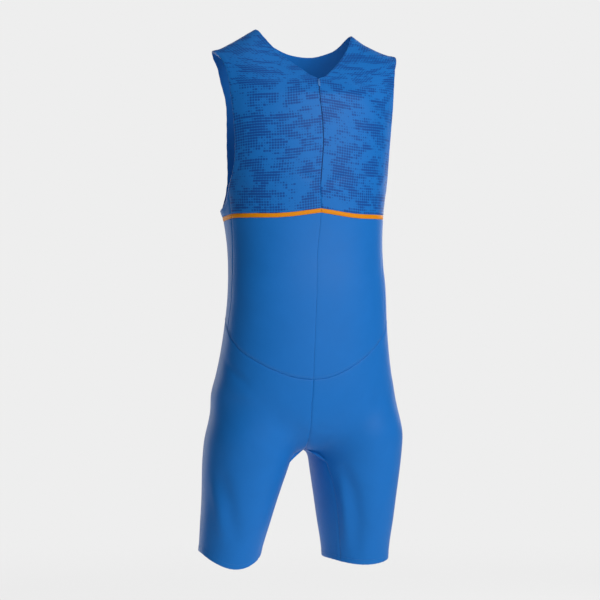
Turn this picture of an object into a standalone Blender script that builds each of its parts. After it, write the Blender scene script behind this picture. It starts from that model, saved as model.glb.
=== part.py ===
"""Sleeveless athletics bodysuit with knee-length legs, as it is worn, with nobody in it.

The cloth is a thin wall on the outside of a hollow body form: an upper body of
superellipse sections that closes over the shoulders and under the crotch,
joined smoothly to two legs. Each cut piece is a grid of points between its seams,
laid on that form and given the cloth's thickness. All lengths below are in millimetres
and all angles in degrees; the objects are made in metres. +Z is up, the front faces -Y
and the wearer's right is -X. The origin lies midway between the tops of the shoulders.
"""

import math

import bmesh
import bpy
import numpy as np
from mathutils import Matrix, Vector

MM = 0.001
RIGHT, LEFT = -1, 1  # the sign of X on the wearer's right and left

# ---- cloth ----
CLOTH = 1.2  # thickness of the knit with its seam allowance pressed flat
SEAM_GAP = 0.3  # clearance between neighbouring pieces
BAND_HEIGHT = 7.5

# ---- the grid of each piece ----
FRONT_COLUMNS = 12  # centre front to side seam
UNDERARM_COLUMNS = 4  # side seam to the main part of the back
HALF_BACK_COLUMNS = 9  # from there to centre back
SIDE_SEAM_ROWS = 3  # from the band up to the armhole
ZIP_ROWS = 14
NECK_ROWS = 7
SHOULDER_SPANS = 6  # each holds two columns of the front
MIDRIFF_ROWS = 14
RISE_ROWS = 12  # waist seam to crotch
INSEAM_ROWS = 12  # crotch to hem
EDGE_POINTS = 60  # an edge is first found at this many points, then spread evenly
NEAR_SHOULDER = 6  # the last of them, where rays would run along the cloth, are left out
NEAR_NECK = 4
NEAR_SIDE_SEAM = 4  # and so are the first of the armhole's front edge, for the same reason
NECK_POINTS = 80
RISE_POINTS = 24
INSEAM_POINTS = 40


def table(columns, *rows):
    """A table with named columns, kept in rising order of its first column."""
    values = np.array(sorted(rows), float).T
    return dict(zip(columns.split(), values))


def read(rows, column, at):
    """A smooth curve through one column, read at values of the table's first column."""
    xs = next(iter(rows.values()))
    ys = rows[column]
    step = np.diff(xs)
    rise = np.diff(ys) / step
    inner = (rise[:-1] * step[1:] + rise[1:] * step[:-1]) / (step[1:] + step[:-1])
    slope = np.concatenate([rise[:1], inner, rise[-1:]])
    at = np.clip(at, xs[0], xs[-1])
    i = np.clip(np.searchsorted(xs, at, side="right") - 1, 0, len(xs) - 2)
    t = (at - xs[i]) / step[i]
    start = (2 * t**3 - 3 * t**2 + 1) * ys[i] + (t**3 - 2 * t**2 + t) * step[i] * slope[i]
    end = (3 * t**2 - 2 * t**3) * ys[i + 1] + (t**3 - t**2) * step[i] * slope[i + 1]
    return start + end


# ---- the body form ----
# Sections of the upper body: half width, depth before and behind the section's centre,
# the centre's own place from front to back, and how square the section is.
TORSO = table(
    "height half_width front back centre squareness",
    (40, 180, 84, 90, 0, 2.3),
    (-40, 178, 86, 94, 0, 2.3),
    (-82, 172, 93, 98, 0, 2.3),
    (-120, 165, 98, 103, 0, 2.3),
    (-160, 159.5, 102, 106, 0, 2.3),
    (-206, 153.5, 104, 108, 0, 2.3),
    (-266, 146, 103, 106, 0, 2.3),
    (-320, 140, 100, 102, 1, 2.3),
    (-380, 135.5, 91, 97, -9, 2.3),
    (-450, 138, 86, 96, -20, 2.3),
    (-520, 143, 92, 102, -14, 2.25),
    (-600, 155, 99, 115, -4, 2.2),
    (-650, 167.5, 103, 120, 3, 2.15),
    (-706, 170, 104, 118, 6, 2.1),
    (-760, 170, 102, 116, 8, 2.1),
)
# The line along the top of a shoulder, and how round the cloth turns over it.
SHOULDER = table(
    "out height roundness",
    (0, 2, 1.25),
    (60, 3, 1.25),
    (84, 0, 1.35),
    (110, -15, 1.7),
    (135, -28.5, 2.0),
    (152, -35.5, 2.2),
    (168, -39, 2.2),
    (190, -43, 2.2),
)
# How much higher or lower the shoulders lie than that line; the wearer's right is -X.
SHOULDER_LIFT = table(
    "x lift",
    (-190, -4),
    (-165, -2.2),
    (-150, -1),
    (-135, 0.5),
    (-120, 1.2),
    (-100, 1.7),
    (-84, 1.2),
    (0, 0),
    (84, -2.9),
    (97, -4.6),
    (108, -5),
    (119, -4.2),
    (130, -3.2),
    (141, -2.3),
    (152, -1.2),
    (163, -0.5),
    (190, 0.5),
)
EDGE_TILT = 0.035  # neck and armholes hang a little lower on the wearer's left
SHOULDER_CLOSING_FRONT = 120
SHOULDER_CLOSING_BACK = 105
CROTCH_HEIGHT = -727
SEAT_CLOSING = 120
SEAT_ROUNDNESS = 2.4
BLEND = 22  # how far legs and body melt into each other

THIGH = table(
    "height half_width half_depth",
    (-640, 79, 90),
    (-700, 79, 90),
    (-748, 75, 86),
    (-790, 68.5, 82.5),
    (-818, 64.2, 79.5),
    (-853, 59.8, 74.5),
    (-893, 54.9, 67),
    (-960, 51, 59),
)
THIGH_SQUARENESS = 2.1
THIGH_TOP = -720  # above it the leg's tube closes inside the hip
THIGH_CLOSING = 90
LEG_FROM = -700  # the height at which a leg's place is given
LEG_LEAN = 5.5  # both legs lean back
LEGS = {
    RIGHT: {"out": 92, "behind": 12.0, "spread": 9.1, "toe_out": 12},
    LEFT: {"out": 95, "behind": 4.4, "spread": 2.3, "toe_out": 18},
}
# Hem heights at the front, outside, back and inside of each leg.
HEMS = {
    RIGHT: {"front": -930.5, "outer": -904, "back": -912, "inner": -908},
    LEFT: {"front": -930, "outer": -922, "back": -918, "inner": -922},
}
# Where the cloth stands out a little at the foot of each armhole.
FLARE = {"out": 5.0, "angle": 97, "height": -310, "reach": 18, "per_degree": 2.4}

# How points are found on the form: rays start inside it, and their way out is halved down.
HALVINGS = 36
BODY_REACH = 330.0  # longer than any ray inside the body
LEG_REACH = 150.0
ABOVE_FORM = 50  # a depth that is surely outside, given above the shoulders
BODY_SCALE = 100  # turns a share of the body's size into a depth, roughly
INWARD = 0.6  # rays to the chest and back start this far out, as a share of their ends'
BELOW_SHOULDER = 100  # and this far below the shoulders
UNDER_SEAM = 60.0  # rays to the shoulder seam start this far under it

# ---- seams and edges ----
# The garment turns a little on the body: its centre front lies at this angle.
TWIST = table(
    "height angle",
    (0, 0),
    (-90, -0.5),
    (-115, -1.8),
    (-160, 0),
    (-200, 0.6),
    (-245, -1.0),
    (-275, -1.9),
    (-310, -0.8),
    (-400, -6),
    (-480, -8),
    (-560, -9),
    (-690, -9.5),
    (-740, -9.5),
)
SIDE_ANGLE = 79  # the side seam lies in front of the widest place
BACK_ANGLE = 115  # where the underarm strip meets the main part of the back
BAND_TOP = table(
    "angle height",
    (0, -312),
    (10, -314.4),
    (20, -317),
    (30, -319.3),
    (40, -320.6),
    (60, -320.5),
    (79, -320.5),
    (90, -323),
    (100, -325),
    (120, -326),
    (180, -327),
)
WAIST_SEAM = table(
    "angle height",
    (0, -603),
    (15, -600),
    (30, -591),
    (45, -576),
    (60, -555),
    (72, -533),
    (80, -519),
    (90, -506),
    (100, -498),
    (120, -492),
    (180, -488),
)
NECK_FRONT = table(
    "height right left",
    (-90, 0.1, 0.1),
    (-87.5, 8, 8),
    (-77, 24, 23),
    (-62, 43, 40.2),
    (-49, 57, 52.8),
    (-36, 68.3, 63.5),
    (-22, 77.5, 73),
    (-10, 83.5, 80.5),
    (0, 85.5, 85.5),
)
# The back neck hangs lower towards the wearer's left.
NECK_BACK = table(
    "out height",
    (-85.5, 0),
    (-65, -16),
    (-38, -28.5),
    (-9, -36.5),
    (19, -38.5),
    (38, -36.7),
    (57, -30.3),
    (70, -23.5),
    (79, -13.5),
    (85.5, 0),
)
SHOULDER_SEAM_BEHIND = 5  # the shoulder seam lies behind the ridge
NECK_OUT, SHOULDER_OUT = 85.5, 165  # where the shoulder seam ends at the neck and the arm
ARMHOLE_TOP = -38.5
ARMHOLE_FOOT = -276  # where the armhole meets the side seam
ARMHOLE_FRONT = table(
    "height out",
    (-38.5, 165),
    (-46, 162.5),
    (-60, 157.5),
    (-78, 152.5),
    (-100, 149),
    (-125, 146.5),
    (-164, 142.5),
    (-210, 139.3),
    (-240, 139.3),
    (-262, 141),
    (-276, 142.3),
)
# From the side seam round the foot of the armhole and up the back.
ARMHOLE_UNDER = table(
    "angle height",
    (79, -276),
    (84, -295),
    (90, -307),
    (97, -313),
    (103, -311),
    (109, -301),
    (115, -284),
)
ARMHOLE_BACK = table(
    "along angle height",
    (0, 115, -284),
    (0.1, 119.5, -262),
    (0.22, 122.5, -235),
    (0.36, 124.4, -203),
    (0.5, 124.6, -170),
    (0.64, 123.2, -138),
    (0.78, 119.3, -105),
    (0.86, 114.3, -84),
    (0.915, 110, -69),
    (0.945, 107.3, -62),
    (0.97, 103.3, -55),
    (0.988, 98.5, -48),
    (1, 91.7, -39.5),
)
INSEAM = table(
    "height inward",
    (-727, 66),
    (-756, 61),
    (-774, 57),
    (-814, 52),
    (-864, 50),
    (-930, 51),
)
INSEAM_SKIPPED = 4  # points next to the crotch, where the meeting point stands in for them
RISE_TURN = -640  # below it the rise seam curves under the body
RISE_CENTRE = 6  # the curve's centre, from front to back
CROTCH_TURN = 74  # how far round that curve the inseams meet
CROTCH_GAP = 1.2  # the cloth turns sharply there, so its edges stand further off

# A leg is laid out round a line that runs up inside it and on into the hip.
AXIS_TURN = {"from": -740, "over": 200, "out": 72}  # where the line moves into the hip
AXIS_LIFT = {"by": 40, "height": -735, "reach": 38}  # rays near the crotch point down
RAY_SHAPE = {"across": 70, "along": 80}
LAST_FROM, WAIST_FROM = 60, -90  # angles round a leg are counted on from these

# ---- zip ----
ZIP_TOP = -90
ZIP_FOOT = -275
ZIP_SLOT = 1.6  # the fronts' edges stand this far apart along the zip
TAPE_BEHIND = 0.5  # clearance from the fronts' inside to the tape
TAPE_THICKNESS = 0.8
TAPE_BELOW = 8  # how far the tape goes on below the zip's foot
TAPE_COLUMNS = (-11, -6, -0.9, 0.9, 6, 11)
TAPE_NOTCH_ROWS = 1  # the two tapes part at the slider
TAPE_TOP = 1  # the tape ends this far under the neck edge
SLIDER_BELOW = 2.5  # from the neck edge down to the slider's bridge
SLIDER_LENGTH = 14  # the slider and its pull follow the zip over this length

# The slider and pull, in a frame at the bridge's upper end on the fronts' inside:
# across, down along the zip (from, to), and out from the body (inner, outer).
BODY = {"across": 5.6, "from": -1.5, "to": 6.5, "inner": -3.8, "outer": -1.7}
NECK = {"across": 1.0, "from": 0.6, "to": 3.4, "inner": -1.9, "outer": 1.7}
PLATE = {"across": 2.6, "from": -0.6, "to": 4.6, "inner": 1.5, "outer": 2.0}
BRIDGE = {"across": 1.2, "from": 0.0, "to": 4.0, "inner": 1.8, "outer": 3.9}
EYE = {"across": 3.0, "from": 0.7, "to": 3.3, "inner": 2.0, "outer": 3.2}
AXIS_DOWN, AXIS_OUT = 2.0, 2.6  # the hinge line of the pull
PIN_RADIUS = 0.3
PULL_WIDTH = 3.6
PULL_LOOP = 2.0  # the width of the opening round the bridge
LOOP_REACH = 2.9  # from the hinge line to the tab
TAB_REACH = 12.4
TAB_INNER, TAB_OUTER = -1.1, 0.3  # the tab's two faces, from the hinge line
LOOP_OVERLAP = 1  # the loop runs this far into the tab
HOLE_HALF_DEPTH = 2  # the cut for the loop's opening runs well past both its faces
BODY_ROUNDING, BRIDGE_ROUNDING, TAB_ROUNDING = 0.4, 0.25, 0.35

# ---- objects ----
COLLECTION = "athletics_bodysuit"
BODY_MIDDLE = (0, 0, -200)  # a place inside the body, which its cloth faces away from
LEG_MIDDLE = (90, 0, -600)  # the same inside the left leg's top
DOUBLED = 1e-6  # points closer than this, in metres, are one
BLUE = (0.018, 0.16, 0.53)
PRINTED_BLUE = (0.014, 0.12, 0.45)
ORANGE = (0.87, 0.28, 0.0)
TAPE_BLUE = (0.014, 0.1, 0.36)
METAL_BLUE = (0.03, 0.2, 0.55)


def points_of(values):
    """Arrays of X, Y and Z as one array of points."""
    return np.stack(values, axis=-1)


def smooth_step(t):
    """0 below 0, 1 above 1 and a soft S between."""
    t = np.clip(t, 0, 1)
    return t * t * (3 - 2 * t)


# ---- the form's inside and outside ----


def shoulder_line(x):
    """The height of the top of the shoulders, x from the middle."""
    return read(SHOULDER, "height", np.abs(x)) + read(SHOULDER_LIFT, "lift", x)


def torso_depth(p):
    """How far points lie outside the upper body, roughly, with minus inside."""
    x, y, z = p[..., 0], p[..., 1] - read(TORSO, "centre", p[..., 2]), p[..., 2]
    half = read(TORSO, "half_width", z)
    power = read(TORSO, "squareness", z)
    depth = np.where(y < 0, read(TORSO, "front", z), read(TORSO, "back", z))
    closing = np.where(y < 0, SHOULDER_CLOSING_FRONT, SHOULDER_CLOSING_BACK)
    roundness = read(SHOULDER, "roundness", np.abs(x))
    top = shoulder_line(x)
    up = np.clip((z - top) / closing + 1, 0, 0.9999)
    thin = (1 - up**roundness) ** (1 / roundness)
    flat = ((np.abs(x) / half) ** power + (np.abs(y) / (depth * thin)) ** power) ** (1 / power)
    down = np.clip((CROTCH_HEIGHT + SEAT_CLOSING - z) / SEAT_CLOSING, 0, None)
    size = (flat**SEAT_ROUNDNESS + down**SEAT_ROUNDNESS) ** (1 / SEAT_ROUNDNESS)
    return np.where(z > top, ABOVE_FORM + z - top, (size - 1) * BODY_SCALE)


def leg_centre(side, z):
    """X and Y of a leg's centre line at height z."""
    leg = LEGS[side]
    drop = LEG_FROM - z
    x = side * (leg["out"] + drop * math.tan(math.radians(leg["spread"])))
    return x, leg["behind"] + drop * math.tan(math.radians(LEG_LEAN))


def leg_depth(p, side):
    """How far points lie outside one leg's tube, roughly, with minus inside."""
    z = p[..., 2]
    x, y = leg_centre(side, z)
    turn = math.radians(LEGS[side]["toe_out"]) * side
    across = (p[..., 0] - x) * math.cos(turn) + (p[..., 1] - y) * math.sin(turn)
    along = (p[..., 1] - y) * math.cos(turn) - (p[..., 0] - x) * math.sin(turn)
    wide, deep = read(THIGH, "half_width", z), read(THIGH, "half_depth", z)
    power = THIGH_SQUARENESS
    flat = ((np.abs(across) / wide) ** power + (np.abs(along) / deep) ** power) ** (1 / power)
    up = np.clip((z - THIGH_TOP) / THIGH_CLOSING, 0, None)
    size = (flat**SEAT_ROUNDNESS + up**SEAT_ROUNDNESS) ** (1 / SEAT_ROUNDNESS)
    return (size - 1) * wide


def form_depth(p):
    """How far points lie outside the whole form, roughly, with minus inside."""
    depth = torso_depth(p)
    for side in (RIGHT, LEFT):
        leg = leg_depth(p, side)
        near = np.clip(BLEND - np.abs(depth - leg), 0, None) / BLEND
        depth = np.minimum(depth, leg) - near * near * BLEND / 4
    return depth


def flare(p):
    """How far the cloth stands out at the foot of the armholes."""
    around = np.degrees(np.arctan2(np.abs(p[..., 0]), -p[..., 1]))
    off_across = (around - FLARE["angle"]) * FLARE["per_degree"]
    off_up = p[..., 2] - FLARE["height"]
    return FLARE["out"] * np.exp(-(off_across**2 + off_up**2) / FLARE["reach"] ** 2)


def on_form(centre, toward, reach=BODY_REACH):
    """The points where rays from inside the form come out of it."""
    centre, toward = np.broadcast_arrays(np.asarray(centre, float), np.asarray(toward, float))
    ray = toward - centre
    ray = ray / np.linalg.norm(ray, axis=-1, keepdims=True)
    low = np.zeros(ray.shape[:-1])
    high = low + reach
    for _ in range(HALVINGS):
        middle = (low + high) / 2
        outside = form_depth(centre + ray * middle[..., None]) > 0
        high = np.where(outside, middle, high)
        low = np.where(outside, low, middle)
    found = centre + ray * high[..., None]
    return found + ray * flare(found)[..., None]


def at_angle(angle, height):
    """Points of the form at angles round the body, 0 in front and 180 behind."""
    angle, height = np.broadcast_arrays(np.asarray(angle, float), np.asarray(height, float))
    turn = np.radians(angle + read(TWIST, "angle", height))
    middle = read(TORSO, "centre", height)
    centre = points_of([height * 0, middle, height])
    way = points_of([np.sin(turn), -np.cos(turn), height * 0])
    return on_form(centre, centre + way)


def at_front(out, height):
    """Points of the form in front of given X and Z."""
    out, height = np.broadcast_arrays(np.asarray(out, float), np.asarray(height, float))
    low = points_of([out, out * 0, height])
    return on_form(low, low - np.array([0.0, 1.0, 0.0]))


def at_back(out, height):
    """Points of the form behind given X and Z."""
    out, height = np.broadcast_arrays(np.asarray(out, float), np.asarray(height, float))
    low = points_of([out, out * 0, height])
    return on_form(low, low + np.array([0.0, 1.0, 0.0]))


def settle(p):
    """Points near the upper body's form, laid on it."""
    x, z = p[..., 0], p[..., 2]
    inner = INWARD * x
    floor = shoulder_line(inner) - BELOW_SHOULDER
    centre = points_of([inner, read(TORSO, "centre", z), np.minimum(z, floor)])
    return on_form(centre, p)


# ---- grids between four edges ----


def spread_evenly(points, count):
    """A polyline's points again, count + 1 of them at even steps along it."""
    along = np.concatenate([[0], np.cumsum(np.linalg.norm(np.diff(points, axis=0), axis=1))])
    at = np.linspace(0, along[-1], count + 1)
    return points_of([np.interp(at, along, points[:, k]) for k in range(3)])


def join(*runs):
    """Polylines that follow each other, without their doubled joints."""
    return np.concatenate([runs[0]] + [run[1:] for run in runs[1:]])


def between(bottom, top, start, end):
    """A grid of points between four edges; rows run from bottom to top."""
    v = np.linspace(0, 1, len(start))[:, None, None]
    u = np.linspace(0, 1, len(bottom))[None, :, None]
    rows = (1 - v) * bottom[None] + v * top[None]
    columns = (1 - u) * start[:, None] + u * end[:, None]
    corners = (1 - v) * ((1 - u) * bottom[0] + u * bottom[-1])
    corners = corners + v * ((1 - u) * top[0] + u * top[-1])
    return rows + columns - corners


def lay(grid):
    """The same grid with everything inside its edges laid on the form."""
    laid = grid.copy()
    laid[1:-1, 1:-1] = settle(grid[1:-1, 1:-1])
    return laid


def unit(v):
    """The same vectors, at length 1."""
    return v / np.maximum(np.linalg.norm(v, axis=-1, keepdims=True), 1e-9)


def form_normal(p):
    """Which way the form faces near given points."""
    steps = 0.5 * np.eye(3)
    slope = [form_depth(p + step) - form_depth(p - step) for step in steps]
    return unit(points_of(slope))


def grid_normal(grid):
    """Which way a grid itself faces at each of its points, by its faces' corners."""
    low, high = np.s_[:-1], np.s_[1:]
    corners = [(low, low), (low, high), (high, high), (high, low)]
    at = [grid[corner] for corner in corners]
    face = unit(np.cross(at[2] - at[0], at[3] - at[1]))
    facing = np.zeros_like(grid)
    for k, corner in enumerate(corners):
        one = unit(at[(k + 1) % 4] - at[k])
        other = unit(at[k - 1] - at[k])
        opening = np.arccos(np.clip((one * other).sum(-1, keepdims=True), -1, 1))
        facing[corner] += face * opening
    facing = unit(facing)
    return facing * np.sign((facing * form_normal(grid)).sum(-1, keepdims=True))


def draw_in(grid, bottom=0.0, top=0.0, start=0.0, end=0.0):
    """The grid with its edges moved inwards, each by its own amount or amounts.

    Where an edge's own faces lean over a seam, so that the cloth's outer side would
    reach across it, the edge moves inwards by as much again.
    """
    moved = grid.copy()
    facing = grid_normal(grid)
    for amount, edge, inner in (
        (bottom, np.s_[0, :], np.s_[1, :]),
        (top, np.s_[-1, :], np.s_[-2, :]),
        (start, np.s_[:, 0], np.s_[:, 1]),
        (end, np.s_[:, -1], np.s_[:, -2]),
    ):
        line = grid[edge]
        amount = np.broadcast_to(amount, len(line))
        if not amount.any():
            continue
        along = unit(np.gradient(line, axis=0))
        up = form_normal(line)
        up = unit(up - along * (up * along).sum(-1, keepdims=True))
        across = np.cross(along, up)
        inwards = across * np.sign((across * (grid[inner] - line)).sum(-1, keepdims=True))
        leaning = -CLOTH * (facing[edge] * inwards).sum(-1)
        moved[edge] += inwards * (amount + (amount > 0) * np.maximum(leaning, 0))[:, None]
    return moved


# ---- objects ----


def material(name, colour, roughness, metallic=0.0):
    """A Principled material for one sub-part."""
    made = bpy.data.materials.new(name)
    made.use_nodes = True
    shader = made.node_tree.nodes["Principled BSDF"]
    shader.inputs["Base Color"].default_value = (*colour, 1)
    shader.inputs["Roughness"].default_value = roughness
    shader.inputs["Metallic"].default_value = metallic
    return made


def open_surface(name, grids, outwards_from):
    """A mesh object from grids of points that share their edges' points."""
    shape = bmesh.new()
    for grid in grids:
        up, across = grid[1, 0] - grid[0, 0], grid[0, 1] - grid[0, 0]
        faces_in = np.dot(np.cross(across, up), grid[0, 0] - outwards_from) < 0
        dots = [[shape.verts.new(Vector(p) * MM) for p in row] for row in grid.tolist()]
        for low, high in zip(dots, dots[1:]):
            for a, b, c, d in zip(low, low[1:], high[1:], high):
                shape.faces.new((d, c, b, a) if faces_in else (a, b, c, d))
    bmesh.ops.remove_doubles(shape, verts=shape.verts, dist=DOUBLED)
    mesh = bpy.data.meshes.new(name)
    shape.to_mesh(mesh)
    shape.free()
    mesh.shade_smooth()
    return new_object(name, mesh)


def new_object(name, mesh):
    """A new object for a mesh, in the part's collection."""
    thing = bpy.data.objects.new(name, mesh)
    bpy.data.collections[COLLECTION].objects.link(thing)
    return thing


def cloth(name, grids, look, outwards_from, thickness=CLOTH):
    """A cut piece: its grids, given the cloth's thickness on the outside."""
    piece = open_surface(name, grids, np.array(outwards_from, float))
    piece.data.materials.append(look)
    wall = piece.modifiers.new("thickness", "SOLIDIFY")
    wall.thickness = thickness * MM
    wall.offset = 1
    return piece


# ---- seams, as points that both neighbours use ----

FRONT_ANGLES = np.linspace(0, SIDE_ANGLE, FRONT_COLUMNS + 1)
UNDERARM_ANGLES = np.linspace(SIDE_ANGLE, BACK_ANGLE, UNDERARM_COLUMNS + 1)
HALF_BACK_ANGLES = np.linspace(BACK_ANGLE, 180, HALF_BACK_COLUMNS + 1)
BACK_ANGLES = np.concatenate([UNDERARM_ANGLES, HALF_BACK_ANGLES[1:]])
HALF_SEAM = SEAM_GAP / 2
ZIP_HEIGHTS = np.linspace(ZIP_FOOT, ZIP_TOP, ZIP_ROWS + 1)


def band_line(angles, side, drop=0.0):
    """Points along the orange band's upper edge, or drop below it."""
    return at_angle(side * angles, read(BAND_TOP, "height", angles) - drop)


def waist_line(angles, side):
    """Points along the waist seam."""
    return at_angle(side * angles, read(WAIST_SEAM, "height", angles))


def side_seam(side):
    """Points up the side seam, from the band to the armhole."""
    heights = np.linspace(read(BAND_TOP, "height", SIDE_ANGLE), ARMHOLE_FOOT, SIDE_SEAM_ROWS + 1)
    return at_angle(side * SIDE_ANGLE, heights)


def shoulder_seam(side):
    """Points from the armhole along the shoulder seam to the neck."""
    out = side * np.linspace(SHOULDER_OUT, NECK_OUT, SHOULDER_SPANS + 1)
    ridge = points_of([out, out * 0, shoulder_line(out)])
    below = ridge - np.array([0, 0, UNDER_SEAM])
    return on_form(below, ridge + np.array([0, SHOULDER_SEAM_BEHIND, 0]))


def armhole_front(side):
    """Points up the armhole's front edge, from the side seam to the shoulder seam."""
    heights = np.linspace(ARMHOLE_FOOT, ARMHOLE_TOP, EDGE_POINTS)[:-NEAR_SHOULDER]
    out = side * read(ARMHOLE_FRONT, "out", heights)
    line = at_front(out, heights - EDGE_TILT * out)[NEAR_SIDE_SEAM:]
    line = np.concatenate([side_seam(side)[-1:], line, shoulder_seam(side)[:1]])
    return spread_evenly(line, ZIP_ROWS + NECK_ROWS)


def armhole_back(side, rows):
    """Points up the armhole's back edge, from the underarm strip to the shoulder seam."""
    along = np.linspace(0, 1, EDGE_POINTS)
    line = at_angle(side * read(ARMHOLE_BACK, "angle", along), read(ARMHOLE_BACK, "height", along))
    line[-1] = shoulder_seam(side)[0]
    return spread_evenly(line, rows)


def neck_front(side):
    """Points up the front neckline, from the zip to the shoulder seam."""
    heights = np.linspace(ZIP_TOP, 0, EDGE_POINTS)[:-NEAR_NECK]
    out = side * read(NECK_FRONT, "left" if side == LEFT else "right", heights)
    line = at_front(out, heights - EDGE_TILT * out)
    line = np.concatenate([line, shoulder_seam(side)[-1:]])
    line[0] = at_angle(0, ZIP_TOP)
    return spread_evenly(line, NECK_ROWS)


def neck_back(columns):
    """Points along the back neckline, from the wearer's right to left."""
    out = np.linspace(-NECK_OUT, NECK_OUT, NECK_POINTS)[NEAR_NECK:-NEAR_NECK]
    line = at_back(out, read(NECK_BACK, "height", out) - EDGE_TILT * out)
    ends = [shoulder_seam(side)[-1:] for side in (RIGHT, LEFT)]
    return spread_evenly(np.concatenate([ends[0], line, ends[1]]), columns)


# ---- the cut pieces ----


def chest(side):
    """The printed upper front of one side, as one grid from the centre to the side."""
    bottom = band_line(FRONT_ANGLES, side)
    outer = join(side_seam(side), armhole_front(side))
    seam = shoulder_seam(side)[::-1]
    halves = (seam[:-1] + seam[1:]) / 2
    top = np.empty((FRONT_COLUMNS + 1, 3))
    top[0::2], top[1::2] = seam, halves
    low = np.linspace(read(BAND_TOP, "height", 0), ZIP_FOOT, SIDE_SEAM_ROWS + 1)
    inner = join(at_angle(0, low), at_angle(0, ZIP_HEIGHTS), neck_front(side))
    grid = lay(between(bottom, top, inner, outer))
    gap = np.full(len(inner), 0.0)
    gap[: SIDE_SEAM_ROWS + 1] = HALF_SEAM
    gap[SIDE_SEAM_ROWS + 1 : SIDE_SEAM_ROWS + ZIP_ROWS + 1] = ZIP_SLOT / 2
    side_gap = np.where(np.arange(len(outer)) <= SIDE_SEAM_ROWS, HALF_SEAM, 0)
    return draw_in(grid, bottom=HALF_SEAM, top=HALF_SEAM, start=gap, end=side_gap)


def band_front(side):
    """The orange band of one side, from the centre front to the side seam."""
    top = band_line(FRONT_ANGLES, side)
    low = band_line(FRONT_ANGLES, side, BAND_HEIGHT)
    return draw_in(np.stack([low, top]), HALF_SEAM, HALF_SEAM, HALF_SEAM, HALF_SEAM)


def all_round(line):
    """A seam of the back, from the wearer's right side seam to the left one."""
    return join(line(BACK_ANGLES, RIGHT), line(BACK_ANGLES, LEFT)[::-1])


def band_back():
    """The orange band across the back."""
    top = all_round(band_line)
    low = all_round(lambda angles, side: band_line(angles, side, BAND_HEIGHT))
    return draw_in(np.stack([low, top]), HALF_SEAM, HALF_SEAM, HALF_SEAM, HALF_SEAM)


def torso_rows(angles, side):
    """Rows from the waist seam up to the band, at the given angles round the body."""
    low = read(WAIST_SEAM, "height", angles)
    high = read(BAND_TOP, "height", angles) - BAND_HEIGHT
    v = np.linspace(0, 1, MIDRIFF_ROWS + 1)[:, None]
    return at_angle(side * angles[None], (1 - v) * low[None] + v * high[None])


def midriff(side):
    """The plain lower front of one side."""
    grid = torso_rows(FRONT_ANGLES, side)
    return draw_in(grid, HALF_SEAM, HALF_SEAM, HALF_SEAM, HALF_SEAM)


def back_lower():
    """The plain lower back."""
    right, left = torso_rows(BACK_ANGLES, RIGHT), torso_rows(BACK_ANGLES, LEFT)
    grid = np.concatenate([right, left[:, ::-1][:, 1:]], axis=1)
    return draw_in(grid, HALF_SEAM, HALF_SEAM, HALF_SEAM, HALF_SEAM)


def underarm_strip(side):
    """The strip of the upper back under one arm, from the side seam backwards."""
    low = band_line(UNDERARM_ANGLES, side)
    high = at_angle(side * UNDERARM_ANGLES, read(ARMHOLE_UNDER, "height", UNDERARM_ANGLES))
    high[0] = side_seam(side)[-1]
    v = np.linspace(0, 1, SIDE_SEAM_ROWS + 1)[:, None, None]
    strip = (1 - v) * low[None] + v * high[None]
    heights = strip[1:-1, 1:, 2]
    strip[1:-1, 1:] = at_angle(side * UNDERARM_ANGLES[None, 1:], heights)
    strip[:, 0] = side_seam(side)
    return strip


def back_upper():
    """The upper back: its main part, and the strip under each arm."""
    armhole_rows = ZIP_ROWS + NECK_ROWS - 2
    necks = 2 * (HALF_BACK_COLUMNS - SHOULDER_SPANS)
    top = join(shoulder_seam(RIGHT), neck_back(necks), shoulder_seam(LEFT)[::-1])
    strips = {side: underarm_strip(side) for side in (RIGHT, LEFT)}
    edges = {
        side: join(strip[:, -1], armhole_back(side, armhole_rows))
        for side, strip in strips.items()
    }
    halves = [band_line(HALF_BACK_ANGLES, side) for side in (RIGHT, LEFT)]
    bottom = join(halves[0], halves[1][::-1])
    main = lay(between(bottom, top, edges[RIGHT], edges[LEFT]))
    on_shoulder = np.full(SHOULDER_SPANS + 1, HALF_SEAM)
    top_gap = np.concatenate([on_shoulder, np.zeros(necks - 1), on_shoulder])
    main = draw_in(main, bottom=HALF_SEAM, top=top_gap)
    made = [main]
    for side, column in ((RIGHT, 0), (LEFT, -1)):
        strip = draw_in(strips[side], bottom=HALF_SEAM, start=HALF_SEAM)
        strip[:, -1] = main[: SIDE_SEAM_ROWS + 1, column]
        made.append(strip)
    return made


# ---- legs ----


def rise(heights, turns, front):
    """Points of the rise seam: straight down at heights, then under the body by turns."""
    height = np.concatenate([heights, turns * 0 + RISE_TURN])
    turn = np.radians(np.concatenate([heights * 0 + (0 if front else 180), turns]))
    twist = np.radians(read(TWIST, "angle", height))
    middle = np.concatenate([read(TORSO, "centre", heights), turns * 0 + RISE_CENTRE])
    centre = points_of([height * 0, middle, height])
    ahead = np.cos(turn)
    way = points_of([np.sin(twist) * ahead, -np.cos(twist) * ahead, -np.sin(turn)])
    return on_form(centre, centre + way)


def rise_edge(front):
    """Points down the rise seam from the waist seam to where the inseams meet."""
    start = 0.0 if front else 180.0
    top = WAIST_SEAM["height"][0 if front else -1]
    heights = np.linspace(top, RISE_TURN, RISE_POINTS, endpoint=False)
    line = rise(heights, np.linspace(start, CROTCH_TURN, EDGE_POINTS), front)
    line[0] = waist_line(np.array([start]), LEFT)[0]
    return spread_evenly(line, RISE_ROWS)


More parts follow.
